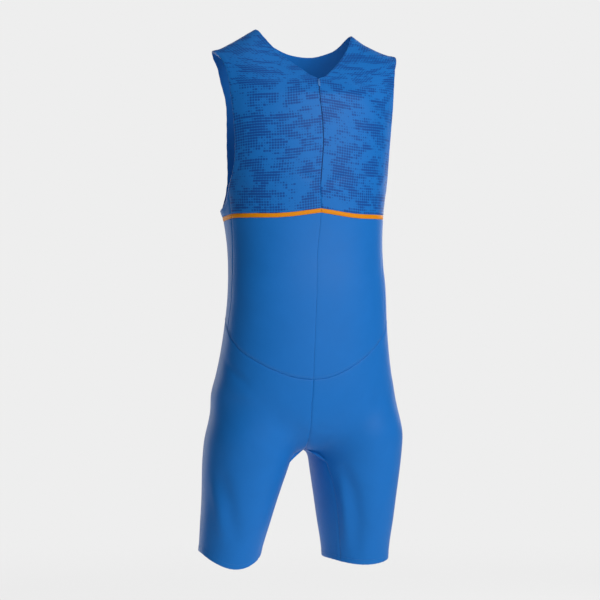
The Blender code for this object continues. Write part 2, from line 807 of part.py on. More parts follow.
def leg_axis(side, z):
    """A line inside the leg and the hip above it, from which the leg is laid out."""
    x, y = leg_centre(side, z)
    high = smooth_step((z - AXIS_TURN["from"]) / AXIS_TURN["over"])
    x = x * (1 - high) + side * AXIS_TURN["out"] * high
    y = y * (1 - high) + read(TORSO, "centre", z) * high
    lift = AXIS_LIFT["by"] * np.exp(-(((z - AXIS_LIFT["height"]) / AXIS_LIFT["reach"]) ** 2))
    return points_of([x, y, z + lift])


def round_leg(p, side):
    """The angle of points round a leg: 0 in front, 90 outside, 180 behind."""
    axis = leg_axis(side, p[..., 2])
    off = p - axis
    return np.degrees(np.arctan2(side * off[..., 0], -off[..., 1]))


def by_angle(side, angle, height):
    """Points of the form at angles round a leg and the hip above it."""
    axis = leg_axis(side, height)
    turn = np.radians(angle)
    across = side * np.sin(turn) * RAY_SHAPE["across"]
    along = -np.cos(turn) * RAY_SHAPE["along"]
    return on_form(axis, axis + points_of([across, along, height - axis[..., 2]]), LEG_REACH)


def inseam(side, meeting):
    """Points down a leg's inseam, from the crotch to the hem."""
    foot = hem_height(side, -INSEAM["inward"][0])
    heights = np.linspace(CROTCH_HEIGHT, foot, INSEAM_POINTS)[INSEAM_SKIPPED:]
    line = by_angle(side, -read(INSEAM, "inward", heights), heights)
    return spread_evenly(np.concatenate([meeting[None], line]), INSEAM_ROWS)


def hem_height(side, angle):
    """The height of the hem at an angle round the leg."""
    hem = HEMS[side]
    ahead, out = np.cos(np.radians(angle)), np.sin(np.radians(angle))
    front_back = np.where(ahead > 0, hem["front"], hem["back"])
    out_in = np.where(out > 0, hem["outer"], hem["inner"])
    return front_back * ahead**2 + out_in * out**2


def blend_edges(top, foot, first, last, u, v, fade):
    """One value over a grid, from its values along the four edges.

    What the two side edges ask for fades out away from them, faster with a higher fade.
    """
    rows = (1 - v) * top[None] + v * foot[None]
    from_first = (1 - u) ** fade * (first[:, None] - rows[:, :1])
    return rows + from_first + u**fade * (last[:, None] - rows[:, -1:])


def leg(side):
    """One leg from the waist seam to the hem, opened along its inseam."""
    waist = join(waist_line(FRONT_ANGLES, side), waist_line(BACK_ANGLES, side))
    front, back = rise_edge(True), rise_edge(False)
    down = inseam(side, front[-1])
    start, end = join(front, down), join(back, down)
    columns, rows = len(waist), len(start)
    u, v = np.linspace(0, 1, columns)[None], np.linspace(0, 1, rows)[:, None]
    first = round_leg(start, side)
    last = round_leg(end, side)
    last = np.where(last < LAST_FROM, last + 360, last)
    across = round_leg(waist, side)
    across = np.where(across < WAIST_FROM, across + 360, across)
    across[0], across[-1] = first[0], last[0]
    foot = np.linspace(first[-1], last[-1], columns)
    angle = blend_edges(across, foot, first, last, u, v, 1)
    foot_height = hem_height(side, foot)
    height = blend_edges(waist[:, 2], foot_height, start[:, 2], end[:, 2], u, v, 3)
    grid = np.empty((rows, columns, 3))
    grid[:] = by_angle(side, angle, height)
    grid[0], grid[:, 0], grid[:, -1] = waist, start, end
    gap = np.where(np.arange(rows) == RISE_ROWS, CROTCH_GAP, HALF_SEAM)
    return draw_in(grid, bottom=HALF_SEAM, start=gap, end=gap)


# ---- zip ----


def tape():
    """Two grids of points: the tapes' closed length, and their parted top ends."""
    heights = np.concatenate([[ZIP_FOOT - TAPE_BELOW], ZIP_HEIGHTS])
    heights[-1] -= TAPE_TOP
    middle = at_angle(0, heights)
    across = np.array(TAPE_COLUMNS)[None] + middle[:, :1]
    grid = at_front(across, np.broadcast_to(middle[:, 2:], across.shape))
    grid -= form_normal(grid) * (TAPE_BEHIND + TAPE_THICKNESS)
    closed = grid[:-TAPE_NOTCH_ROWS]
    parted = grid[-TAPE_NOTCH_ROWS - 1 :]
    half = len(TAPE_COLUMNS) // 2
    return [closed, parted[:, :half], parted[:, half:]]


def slider_place():
    """The frame of the slider, as a matrix: across, down the zip, out from the body."""
    top = ZIP_TOP - SLIDER_BELOW
    ends = at_angle(0, np.array([top, top - SLIDER_LENGTH]))
    down = unit(ends[1] - ends[0])
    out = unit(form_normal(ends).sum(0))
    out = unit(out - down * (out * down).sum())
    place = np.eye(4)
    place[:3, :3] = np.stack([np.cross(down, out), down, out], axis=1)
    place[:3, 3] = ends[0]
    return Matrix(place.tolist())


def block(name, box, rounded=0.0):
    """A box in the slider's frame, from its named sizes, with rounded edges."""
    size = box["across"], box["to"] - box["from"], box["outer"] - box["inner"]
    shape = bmesh.new()
    bmesh.ops.create_cube(shape, size=1)
    bmesh.ops.scale(shape, vec=size, verts=shape.verts)
    middle = Vector((0, (box["to"] + box["from"]) / 2, (box["outer"] + box["inner"]) / 2))
    bmesh.ops.translate(shape, vec=middle, verts=shape.verts)
    if rounded:
        bmesh.ops.bevel(
            shape, geom=shape.edges, offset=rounded, segments=2, affect="EDGES", profile=0.5
        )
    mesh = bpy.data.meshes.new(name)
    shape.to_mesh(mesh)
    shape.free()
    return new_object(name, mesh)


def combine(thing, other, operation):
    """Joins or cuts one object with another, which is then removed."""
    step = thing.modifiers.new(operation.lower(), "BOOLEAN")
    step.operation = operation
    step.solver = "EXACT"
    step.object = other
    seen = thing.evaluated_get(bpy.context.evaluated_depsgraph_get())
    result = bpy.data.meshes.new_from_object(seen)
    thing.modifiers.clear()
    thing.data = result
    bpy.data.objects.remove(other, do_unlink=True)


def place_in_world(thing, frame, origin, look):
    """Puts a piece made in the slider's frame in its place, with its origin on a point."""
    thing.data.transform(Matrix.Translation(-Vector(origin)))
    thing.data.transform(Matrix.Scale(MM, 4))
    turned = frame.to_3x3().to_4x4()
    thing.matrix_world = Matrix.Translation((frame @ Vector(origin)) * MM) @ turned
    thing.data.materials.clear()
    thing.data.materials.append(look)


def slider(frame, look):
    """The slider: its body inside, its neck through the slot and its bridge outside."""
    made = block("zip_slider", BODY, BODY_ROUNDING)
    combine(made, block("neck", NECK), "UNION")
    combine(made, block("plate", PLATE), "UNION")
    combine(made, block("bridge", BRIDGE, BRIDGE_ROUNDING), "UNION")
    combine(made, block("eye", EYE), "DIFFERENCE")
    place_in_world(made, frame, (0, 0, 0), look)


def pull(frame, look):
    """The pull: a pin under the bridge, a loop round it and a tab, made on its hinge line."""
    loop = {"across": PULL_WIDTH, "from": 0, "to": LOOP_REACH + LOOP_OVERLAP}
    loop.update(inner=-PIN_RADIUS, outer=PIN_RADIUS)
    tab = {"across": PULL_WIDTH, "from": LOOP_REACH, "to": TAB_REACH}
    tab.update(inner=TAB_INNER, outer=TAB_OUTER)
    hole = {"across": PULL_LOOP, "from": PIN_RADIUS, "to": LOOP_REACH}
    hole.update(inner=-HOLE_HALF_DEPTH, outer=HOLE_HALF_DEPTH)
    made = block("zip_pull", tab, TAB_ROUNDING)
    combine(made, block("loop", loop), "UNION")
    combine(made, block("hole", hole), "DIFFERENCE")
    bpy.ops.mesh.primitive_cylinder_add(vertices=16, radius=PIN_RADIUS, depth=PULL_WIDTH)
    pin = bpy.context.object
    pin.data.transform(Matrix.Rotation(math.pi / 2, 4, "Y"))
    combine(made, pin, "UNION")
    made.data.transform(Matrix.Translation((0, AXIS_DOWN, AXIS_OUT)))
    place_in_world(made, frame, (0, AXIS_DOWN, AXIS_OUT), look)


# ---- build ----


def clear_scene():
    """Removes what the scene holds and makes the part's own collection."""
    for thing in list(bpy.data.objects):
        bpy.data.objects.remove(thing, do_unlink=True)
    home = bpy.data.collections.new(COLLECTION)
    bpy.context.scene.collection.children.link(home)


def main():
    """Makes every sub-part."""
    clear_scene()
    plain = material("blue_knit", BLUE, roughness=0.6)
    printed = material("blue_printed_knit", PRINTED_BLUE, roughness=0.6)
    orange = material("orange_knit", ORANGE, roughness=0.6)
    tape_look = material("blue_zip_tape", TAPE_BLUE, roughness=0.7)
    metal = material("blue_lacquered_metal", METAL_BLUE, roughness=0.35, metallic=0.3)
    for side, name in ((RIGHT, "right"), (LEFT, "left")):
        cloth(f"chest_{name}", [chest(side)], printed, BODY_MIDDLE)
        cloth(f"band_{name}", [band_front(side)], orange, BODY_MIDDLE)
        cloth(f"midriff_{name}", [midriff(side)], plain, BODY_MIDDLE)
        out, ahead, height = LEG_MIDDLE
        cloth(f"leg_{name}", [leg(side)], plain, (side * out, ahead, height))
    cloth("back_upper", back_upper(), plain, BODY_MIDDLE)
    cloth("band_back", [band_back()], orange, BODY_MIDDLE)
    cloth("back_lower", [back_lower()], plain, BODY_MIDDLE)
    cloth("zip_tape", tape(), tape_look, BODY_MIDDLE, TAPE_THICKNESS)
    frame = slider_place()
    slider(frame, metal)
    pull(frame, metal)


main()
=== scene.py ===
"""The looks of a sleeveless athletics bodysuit with knee-length legs, worn by nobody.

Every cut piece of cloth is a thin shell laid on the same hollow body form as its
solid, with its seams sunk, its edges turned and its creases placed. Lengths
are in millimetres and angles in degrees until a mesh is made, in metres. +Z is up,
the front faces -Y and the wearer's left is +X.
"""

import logging
import math
from dataclasses import dataclass
from enum import Enum
from typing import Sequence

import bmesh
import bpy
import numpy as np
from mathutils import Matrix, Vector


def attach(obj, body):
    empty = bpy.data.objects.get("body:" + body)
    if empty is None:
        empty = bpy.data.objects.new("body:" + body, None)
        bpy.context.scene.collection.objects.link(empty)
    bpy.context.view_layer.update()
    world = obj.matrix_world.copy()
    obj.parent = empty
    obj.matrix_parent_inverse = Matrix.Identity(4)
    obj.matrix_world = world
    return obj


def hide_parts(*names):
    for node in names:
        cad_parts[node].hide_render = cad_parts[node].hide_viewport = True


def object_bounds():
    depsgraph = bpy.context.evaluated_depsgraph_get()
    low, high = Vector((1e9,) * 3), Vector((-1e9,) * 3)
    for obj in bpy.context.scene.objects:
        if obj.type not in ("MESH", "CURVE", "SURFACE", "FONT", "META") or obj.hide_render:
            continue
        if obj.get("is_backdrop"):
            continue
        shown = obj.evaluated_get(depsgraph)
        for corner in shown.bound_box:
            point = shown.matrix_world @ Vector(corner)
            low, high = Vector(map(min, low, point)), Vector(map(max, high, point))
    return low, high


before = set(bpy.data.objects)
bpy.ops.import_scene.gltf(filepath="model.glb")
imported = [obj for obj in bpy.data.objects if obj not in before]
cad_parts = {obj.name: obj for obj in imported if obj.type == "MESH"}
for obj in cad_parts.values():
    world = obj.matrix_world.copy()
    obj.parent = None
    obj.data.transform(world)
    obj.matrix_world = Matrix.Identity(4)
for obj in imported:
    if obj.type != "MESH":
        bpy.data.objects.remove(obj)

Array = np.ndarray
Socket = bpy.types.NodeSocket
Ends = tuple[bool, bool, bool, bool]
ALL_ROUND: Ends = (True, True, True, True)
MM = 0.001
MERGE_WITHIN = 2e-6
SHARP_ANGLE = math.radians(60)
OPEN_END_SIDES = 6
LOG = logging.getLogger("bodysuit")


# ---------------------------------------------------------------- numbers


class Side(Enum):
    """The wearer's right and left, as the sign of X."""

    RIGHT = -1
    LEFT = 1

    @property
    def word(self) -> str:
        """The side's name as nodes use it."""
        return self.name.lower()


class Table:
    """Rows of numbers under named columns, read as smooth curves."""

    def __init__(self, columns: str, *rows: tuple[float, ...]) -> None:
        """Keeps the rows in rising order of the first column.

        Args:
            columns: The columns' names, parted by spaces.
            rows: One tuple of numbers for each row.
        """
        names = columns.split()
        self.first = names[0]
        self.values = dict(zip(names, np.array(sorted(rows), float).T))

    def read(self, column: str, at: Array | float) -> Array:
        """Reads a column at values of the first one.

        Args:
            column: The column's name.
            at: Values of the first column.

        Returns:
            The curve's values, held at its ends.
        """
        xs, ys = self.values[self.first], self.values[column]
        step = np.diff(xs)
        rise = np.diff(ys) / step
        inner = (rise[:-1] * step[1:] + rise[1:] * step[:-1]) / (step[1:] + step[:-1])
        slope = np.concatenate([rise[:1], inner, rise[-1:]])
        at = np.clip(at, xs[0], xs[-1])
        i = np.clip(np.searchsorted(xs, at, side="right") - 1, 0, len(xs) - 2)
        t = (at - xs[i]) / step[i]
        start = (2 * t**3 - 3 * t**2 + 1) * ys[i] + (t**3 - 2 * t**2 + t) * step[i] * slope[i]
        end = (3 * t**2 - 2 * t**3) * ys[i + 1] + (t**3 - t**2) * step[i] * slope[i + 1]
        return start + end


def points_of(values: Sequence[Array]) -> Array:
    """Stacks arrays of X, Y and Z as one array of points."""
    return np.stack(values, axis=-1)


def unit(v: Array) -> Array:
    """Scales vectors to length 1."""
    return v / np.maximum(np.linalg.norm(v, axis=-1, keepdims=True), 1e-9)


def join(*runs: Array) -> Array:
    """Chains polylines that follow each other, without their doubled joints."""
    return np.concatenate([runs[0]] + [run[1:] for run in runs[1:]])


def length_of(line: Array) -> float:
    """The length of a polyline."""
    return float(np.linalg.norm(np.diff(line, axis=0), axis=1).sum())


def evenly(points: Array, count: int, skip_start: float = 0, skip_end: float = 0) -> Array:
    """Steps evenly along a polyline, or the part between lengths skipped at its ends.

    Args:
        points: The polyline's points.
        count: How many steps to take.
        skip_start: The length left out at its start.
        skip_end: The length left out at its end.

    Returns:
        count + 1 points.
    """
    along = np.concatenate([[0], np.cumsum(np.linalg.norm(np.diff(points, axis=0), axis=1))])
    at = np.linspace(skip_start, along[-1] - skip_end, count + 1)
    return points_of([np.interp(at, along, points[:, k]) for k in range(3)])


def fading(off: Array, width: float) -> Array:
    """1 where off is 0, fading towards 0 over a width on either side."""
    return np.exp(-((off / width) ** 2))


def rounded(a: Array, b: Array, power: Array | float) -> Array:
    """Joins two shares of a size as a rounded outline does; a power of 2 gives a circle."""
    return (a**power + b**power) ** (1 / power)


# ---------------------------------------------------------------- the body form


@dataclass(frozen=True)
class LegPlan:
    """How one leg hangs, and the heights of its hem in front, outside, behind and inside."""

    out: float
    behind: float
    spread: float
    toe_out: float
    hem_front: float
    hem_outer: float
    hem_back: float
    hem_inner: float


LEGS = {
    Side.RIGHT: LegPlan(92, 12.0, 9.1, 12, -930.5, -904, -912, -908),
    Side.LEFT: LegPlan(95, 4.4, 2.3, 18, -930, -922, -918, -922),
}


@dataclass
class BodyForm:
    """The hollow form that the cloth lies on: an upper body and two legs, joined softly."""

    torso: Table = Table(
        "height half_width front back centre squareness",
        (40, 180, 84, 90, 0, 2.3), (-40, 178, 86, 94, 0, 2.3), (-82, 172, 93, 98, 0, 2.3),
        (-120, 165, 98, 103, 0, 2.3), (-160, 159.5, 102, 106, 0, 2.3), (-206, 153.5, 104, 108, 0, 2.3),
        (-266, 146, 103, 106, 0, 2.3), (-320, 140, 100, 102, 1, 2.3), (-380, 135.5, 91, 97, -9, 2.3),
        (-450, 138, 86, 96, -20, 2.3), (-520, 143, 92, 102, -14, 2.25), (-600, 155, 99, 115, -4, 2.2),
        (-650, 167.5, 103, 120, 3, 2.15), (-706, 170, 104, 118, 6, 2.1), (-760, 170, 102, 116, 8, 2.1),
    )
    shoulder: Table = Table(
        "out height roundness",
        (0, 2, 1.25), (60, 3, 1.25), (84, 0, 1.35), (110, -15, 1.7), (135, -28.5, 2.0),
        (152, -35.5, 2.2), (168, -39, 2.2), (190, -43, 2.2),
    )
    thigh: Table = Table(
        "height half_width half_depth",
        (-640, 79, 90), (-700, 79, 90), (-748, 75, 86), (-790, 68.5, 82.5), (-818, 64.2, 79.5),
        (-853, 59.8, 74.5), (-893, 54.9, 67), (-960, 51, 59),
    )
    shoulder_lift: Table = Table(
        "x lift",
        (-190, -4), (-165, -2.2), (-150, -1), (-135, 0.5), (-120, 1.2), (-100, 1.7), (-84, 1.2),
        (0, 0), (84, -2.9), (97, -4.6), (108, -5), (119, -4.2), (130, -3.2), (141, -2.3), (152, -1.2),
        (163, -0.5), (190, 0.5),
    )
    closing_front: float = 120
    closing_back: float = 105
    nearly_closed: float = 0.9999
    crotch_height: float = -727
    seat_closing: float = 120
    seat_roundness: float = 2.4
    torso_scale: float = 100  # turns a share of the torso's size into about a length
    over_shoulders: float = 50
    blend: float = 22
    thigh_squareness: float = 2.1
    thigh_top: float = -720
    thigh_closing: float = 90
    leg_from: float = -700
    leg_lean: float = 5.5
    flare_out: float = 5.0
    flare_angle: float = 97
    flare_degree: float = 2.4  # one degree's length round the body
    flare_height: float = -310
    flare_reach: float = 18
    probe: float = 0.5
    least_slope: float = 0.1
    longest_step: float = 1.5
    laying_steps: int = 10
    halvings: int = 30

    def shoulder_line(self, x: Array) -> Array:
        """The height of the top of the shoulders at x."""
        return self.shoulder.read("height", np.abs(x)) + self.shoulder_lift.read("lift", x)

    def torso_depth(self, p: Array) -> Array:
        """How far points lie outside the upper body, roughly, with minus inside."""
        x, y, z = p[..., 0], p[..., 1] - self.torso.read("centre", p[..., 2]), p[..., 2]
        half, power = self.torso.read("half_width", z), self.torso.read("squareness", z)
        depth = np.where(y < 0, self.torso.read("front", z), self.torso.read("back", z))
        closing = np.where(y < 0, self.closing_front, self.closing_back)
        roundness = self.shoulder.read("roundness", np.abs(x))
        top = self.shoulder_line(x)
        up = np.clip((z - top) / closing + 1, 0, self.nearly_closed)
        thin = (1 - up**roundness) ** (1 / roundness)
        flat = rounded(np.abs(x) / half, np.abs(y) / (depth * thin), power)
        down = np.clip((self.crotch_height + self.seat_closing - z) / self.seat_closing, 0, None)
        size = rounded(flat, down, self.seat_roundness)
        return np.where(z > top, self.over_shoulders + z - top, (size - 1) * self.torso_scale)

    def leg_centre(self, side: Side, z: Array) -> tuple[Array, Array]:
        """X and Y of a leg's centre line at height z."""
        leg, drop = LEGS[side], self.leg_from - z
        out = leg.out + drop * math.tan(math.radians(leg.spread))
        return side.value * out, leg.behind + drop * math.tan(math.radians(self.leg_lean))

    def leg_depth(self, p: Array, side: Side) -> Array:
        """How far points lie outside one leg's tube, roughly, with minus inside."""
        z = p[..., 2]
        x, y = self.leg_centre(side, z)
        x, y = p[..., 0] - x, p[..., 1] - y
        turn = math.radians(LEGS[side].toe_out) * side.value
        across = x * math.cos(turn) + y * math.sin(turn)
        along = y * math.cos(turn) - x * math.sin(turn)
        wide, deep = self.thigh.read("half_width", z), self.thigh.read("half_depth", z)
        flat = rounded(np.abs(across) / wide, np.abs(along) / deep, self.thigh_squareness)
        up = np.clip((z - self.thigh_top) / self.thigh_closing, 0, None)
        return (rounded(flat, up, self.seat_roundness) - 1) * wide

    def depth(self, p: Array) -> Array:
        """How far points lie outside the whole form, roughly, with minus inside."""
        depth = self.torso_depth(p)
        for side in Side:
            leg = self.leg_depth(p, side)
            near = np.clip(self.blend - np.abs(depth - leg), 0, None) / self.blend
            depth = np.minimum(depth, leg) - near * near * self.blend / 4
        return depth

    def slope(self, p: Array) -> Array:
        """How much the depth grows along X, Y and Z near given points."""
        steps = self.probe * np.eye(3)
        return points_of([self.depth(p + step) - self.depth(p - step) for step in steps])

    def normal(self, p: Array) -> Array:
        """Which way the form faces near given points."""
        return unit(self.slope(p))

    def lay(self, p: Array) -> Array:
        """Lays points that lie near the form on it, by short steps along its slope."""
        for _ in range(self.laying_steps):
            slope = self.slope(p)
            steep = np.sqrt(np.clip((slope**2).sum(-1), self.least_slope, None))
            step = np.clip(self.depth(p) / steep, -self.longest_step, self.longest_step)
            p = p - step[..., None] * slope / steep[..., None]
        return p

    def flare(self, p: Array) -> Array:
        """How far the cloth stands out at the foot of the armholes."""
        around = np.degrees(np.arctan2(np.abs(p[..., 0]), -p[..., 1]))
        off_across = (around - self.flare_angle) * self.flare_degree
        off_up = p[..., 2] - self.flare_height
        return self.flare_out * np.exp(-(off_across**2 + off_up**2) / self.flare_reach**2)

    def reach(self, centre: Array, toward: Array, far: float = 330.0) -> Array:
        """Finds where rays from inside the form come out of it.

        Args:
            centre: The rays' starts, inside the form.
            toward: Points that the rays run through.
            far: How far a ray may run.

        Returns:
            The points on the form.
        """
        centre, toward = np.broadcast_arrays(np.asarray(centre, float), np.asarray(toward, float))
        ray = unit(toward - centre)
        low = np.zeros(ray.shape[:-1])
        high = low + far
        for _ in range(self.halvings):
            middle = (low + high) / 2
            outside = self.depth(centre + ray * middle[..., None]) > 0
            high = np.where(outside, middle, high)
            low = np.where(outside, low, middle)
        found = centre + ray * high[..., None]
        return found + ray * self.flare(found)[..., None]


# ---------------------------------------------------------------- seams and edges


@dataclass
class Pattern:
    """Where the seams and edges lie on the form, and how finely the pieces are made."""

    form: BodyForm
    fine: int = 4
    side_angle: float = 79
    back_angle: float = 115
    neck_out: float = 85.5
    shoulder_out: float = 165
    shoulder_seam_behind: float = 5
    shoulder_ray: float = 60
    settle_in: float = 0.6
    settle_below: float = 100
    edge_tilt: float = 0.035
    band_height: float = 7.5
    zip_top: float = -90
    zip_foot: float = -275
    armhole_foot: float = -276
    armhole_top: float = -38.5
    samples: int = 60
    back_samples: int = 80
    rise_samples: int = 24
    inseam_samples: int = 40
    clear: int = 4  # samples left out where an edge runs into a seam
    clear_shoulder: int = 6
    rise_turn: float = -640
    rise_centre: float = 6
    crotch_turn: float = 74
    hip_foot: float = -740
    hip_height: float = 200
    hip_out: float = 72
    axis_lift: float = 40
    axis_lift_at: float = -735
    axis_lift_reach: float = 38
    leg_ray_out: float = 70
    leg_ray_ahead: float = 80
    leg_far: float = 150
    hem_about: float = -930
    twist: Table = Table(
        "height angle",
        (0, 0), (-90, -0.5), (-115, -1.8), (-160, 0), (-200, 0.6), (-245, -1.0), (-275, -1.9),
        (-310, -0.8), (-400, -6), (-480, -8), (-560, -9), (-690, -9.5), (-740, -9.5),
    )
    band_top: Table = Table(
        "angle height",
        (0, -312), (10, -314.4), (20, -317), (30, -319.3), (40, -320.6), (60, -320.5), (79, -320.5),
        (90, -323), (100, -325), (120, -326), (180, -327),
    )
    waist_seam: Table = Table(
        "angle height",
        (0, -603), (15, -600), (30, -591), (45, -576), (60, -555), (72, -533), (80, -519), (90, -506),
        (100, -498), (120, -492), (180, -488),
    )
    neck_front: Table = Table(
        "height right left",
        (-90, 0.1, 0.1), (-87.5, 8, 8), (-77, 24, 23), (-62, 43, 40.2), (-49, 57, 52.8),
        (-36, 68.3, 63.5), (-22, 77.5, 73), (-10, 83.5, 80.5), (0, 85.5, 85.5),
    )
    neck_back: Table = Table(
        "out height",
        (-85.5, 0), (-65, -16), (-38, -28.5), (-9, -36.5), (19, -38.5), (38, -36.7), (57, -30.3),
        (70, -23.5), (79, -13.5), (85.5, 0),
    )
    armhole_front: Table = Table(
        "height out",
        (-38.5, 165), (-46, 162.5), (-60, 157.5), (-78, 152.5), (-100, 149), (-125, 146.5),
        (-164, 142.5), (-210, 139.3), (-240, 139.3), (-262, 141), (-276, 142.3),
    )
    armhole_under: Table = Table(
        "angle height",
        (79, -276), (84, -295), (90, -307), (97, -313), (103, -311), (109, -301), (115, -284),
    )
    armhole_back: Table = Table(
        "along angle height",
        (0, 115, -284), (0.1, 119.5, -262), (0.22, 122.5, -235), (0.36, 124.4, -203),
        (0.5, 124.6, -170), (0.64, 123.2, -138), (0.78, 119.3, -105), (0.86, 114.3, -84),
        (0.915, 110, -69), (0.945, 107.3, -62), (0.97, 103.3, -55), (0.988, 98.5, -48),
        (1, 91.7, -39.5),
    )
    inseam: Table = Table(
        "height inward",
        (-727, 66), (-756, 61), (-774, 57), (-814, 52), (-864, 50), (-930, 51),
    )

    def __post_init__(self) -> None:
        """Works out how many columns and rows each stretch gets."""
        fine = self.fine
        self.front_angles = np.linspace(0, self.side_angle, 12 * fine + 1)
        self.under_angles = np.linspace(self.side_angle, self.back_angle, 4 * fine + 1)
        self.half_back_angles = np.linspace(self.back_angle, 180, 9 * fine + 1)
        self.back_angles = join(self.under_angles, self.half_back_angles)
        self.half_round = join(self.front_angles, self.back_angles)
        self.side_rows, self.neck_rows, self.leg_rows = 3 * fine, 7 * fine, 12 * fine
        self.zip_rows = self.midriff_rows = 14 * fine

    def at_angle(self, angle: Array | float, height: Array | float) -> Array:
        """Points of the form at angles round the body, 0 in front and 180 behind."""
        angle, height = np.broadcast_arrays(np.asarray(angle, float), np.asarray(height, float))
        turn = np.radians(angle + self.twist.read("angle", height))
        centre = points_of([height * 0, self.form.torso.read("centre", height), height])
        way = points_of([np.sin(turn), -np.cos(turn), height * 0])
        return self.form.reach(centre, centre + way)

    def edge(
        self, out: Array, height: Array, way: int, ends: Sequence[Array], count: int
    ) -> Array:
        """Points along an edge that is given as it looks from in front or from behind.

        Args:
            out: X of its points.
            height: How high they are, before the wearer's right is lifted a little.
            way: -1 in front and 1 behind.
            ends: The two points that it runs between.
            count: How many steps to take.

        Returns:
            count + 1 points of the form.
        """
        low = points_of([out, out * 0, height - self.edge_tilt * out])
        line = self.form.reach(low, low + np.array([0.0, float(way), 0.0]))
        return evenly(np.concatenate([ends[0][None], line, ends[1][None]]), count)

    def settle(self, p: Array) -> Array:
        """Lays points near the upper body's form on it."""
        inner, z = self.settle_in * p[..., 0], p[..., 2]
        lowest = np.minimum(z, self.form.shoulder_line(inner) - self.settle_below)
        return self.form.reach(points_of([inner, self.form.torso.read("centre", z), lowest]), p)

    def band_line(self, angles: Array, side: Side, drop: float = 0.0) -> Array:
        """Points along the band's upper edge, or drop below it."""
        return self.at_angle(side.value * angles, self.band_top.read("height", angles) - drop)

    def waist_line(self, angles: Array, side: Side) -> Array:
        """Points along the waist seam."""
        return self.at_angle(side.value * angles, self.waist_seam.read("height", angles))

    def side_seam(self, side: Side) -> Array:
        """Points up the side seam, from the band to the armhole."""
        low = self.band_top.read("height", self.side_angle)
        heights = np.linspace(low, self.armhole_foot, self.side_rows + 1)
        return self.at_angle(side.value * self.side_angle, heights)

    def shoulder_seam(self, side: Side, spans: int) -> Array:
        """Points from the armhole along the shoulder seam to the neck."""
        out = side.value * np.linspace(self.shoulder_out, self.neck_out, spans + 1)
        ridge = points_of([out, out * 0, self.form.shoulder_line(out)])
        below = ridge - np.array([0, 0, self.shoulder_ray])
        return self.form.reach(below, ridge + np.array([0, self.shoulder_seam_behind, 0]))

    def armhole_front_line(self, side: Side) -> Array:
        """Points up the armhole's front edge, from the side seam to the shoulder seam."""
        heights = np.linspace(self.armhole_foot, self.armhole_top, self.samples)
        heights = heights[self.clear : -self.clear_shoulder]
        out = side.value * self.armhole_front.read("out", heights)
        ends = self.side_seam(side)[-1], self.shoulder_seam(side, 2)[0]
        return self.edge(out, heights, -1, ends, self.zip_rows + self.neck_rows)

    def armhole_back_line(self, side: Side, rows: int) -> Array:
        """Points up the armhole's back edge, from the underarm strip to the shoulder seam."""
        along = np.linspace(0, 1, self.samples)
        angles = side.value * self.armhole_back.read("angle", along)
        line = self.at_angle(angles, self.armhole_back.read("height", along))
        line[-1] = self.shoulder_seam(side, 2)[0]
        return evenly(line, rows)

    def neck_front_line(self, side: Side) -> Array:
        """Points up the front neckline, from the zip to the shoulder seam."""
        heights = np.linspace(self.zip_top, 0, self.samples)[1 : -self.clear]
        out = side.value * self.neck_front.read(side.word, heights)
        ends = self.at_angle(0, self.zip_top), self.shoulder_seam(side, 2)[-1]
        return self.edge(out, heights, -1, ends, self.neck_rows)

    def neck_back_line(self, columns: int) -> Array:
        """Points along the back neckline, from the wearer's right to left."""
        out = np.linspace(-self.neck_out, self.neck_out, self.back_samples)[self.clear : -self.clear]
        ends = [self.shoulder_seam(side, 2)[-1] for side in Side]
        return self.edge(out, self.neck_back.read("height", out), 1, ends, columns)

    def rise(self, heights: Array, turns: Array, front: bool) -> Array:
        """Points of the rise seam.

        Args:
            heights: Heights of its level stretch, above the place where it turns under.
            turns: Angles of its curved stretch under the body, 0 in front.
            front: Whether this is the front's rise.

        Returns:
            The points, from above down.
        """
        height = np.concatenate([heights, turns * 0 + self.rise_turn])
        turn = np.radians(np.concatenate([heights * 0 + (0 if front else 180), turns]))
        level = self.form.torso.read("centre", heights)
        centre = points_of([height * 0.0, np.concatenate([level, turns * 0 + self.rise_centre]), height])
        twist, ahead = np.radians(self.twist.read("angle", height)), np.cos(turn)
        way = points_of([np.sin(twist) * ahead, -np.cos(twist) * ahead, -np.sin(turn)])
        return self.form.reach(centre, centre + way)

    def rise_line(self, front: bool) -> Array:
        """Points down the rise seam, from the waist seam to where the inseams meet."""
        angle = 0.0 if front else 180.0
        top = float(self.waist_seam.read("height", angle))
        heights = np.linspace(top, self.rise_turn, self.rise_samples, endpoint=False)
        line = self.rise(heights, np.linspace(angle, self.crotch_turn, self.samples), front)
        line[0] = self.waist_line(np.array([angle]), Side.LEFT)[0]
        return evenly(line, self.leg_rows)

    def leg_axis(self, side: Side, z: Array) -> Array:
        """A line inside the leg and the hip above it, from which the leg is laid out."""
        x, y = self.form.leg_centre(side, z)
        t = np.clip((z - self.hip_foot) / self.hip_height, 0, 1)
        high = t * t * (3 - 2 * t)
        x = x * (1 - high) + side.value * self.hip_out * high
        y = y * (1 - high) + self.form.torso.read("centre", z) * high
        lift = self.axis_lift * fading(z - self.axis_lift_at, self.axis_lift_reach)
        return points_of([x, y, z + lift])

    def round_leg(self, p: Array, side: Side) -> Array:
        """The angle of points round a leg: 0 in front, 90 outside, 180 behind."""
        off = p - self.leg_axis(side, p[..., 2])
        return np.degrees(np.arctan2(side.value * off[..., 0], -off[..., 1]))

    def by_leg_angle(self, side: Side, angle: Array, height: Array) -> Array:
        """Points of the form at angles round a leg and the hip above it."""
        axis, turn = self.leg_axis(side, height), np.radians(angle)
        out, ahead = side.value * np.sin(turn) * self.leg_ray_out, np.cos(turn) * self.leg_ray_ahead
        return self.form.reach(axis, axis + points_of([out, -ahead, height - axis[..., 2]]), self.leg_far)

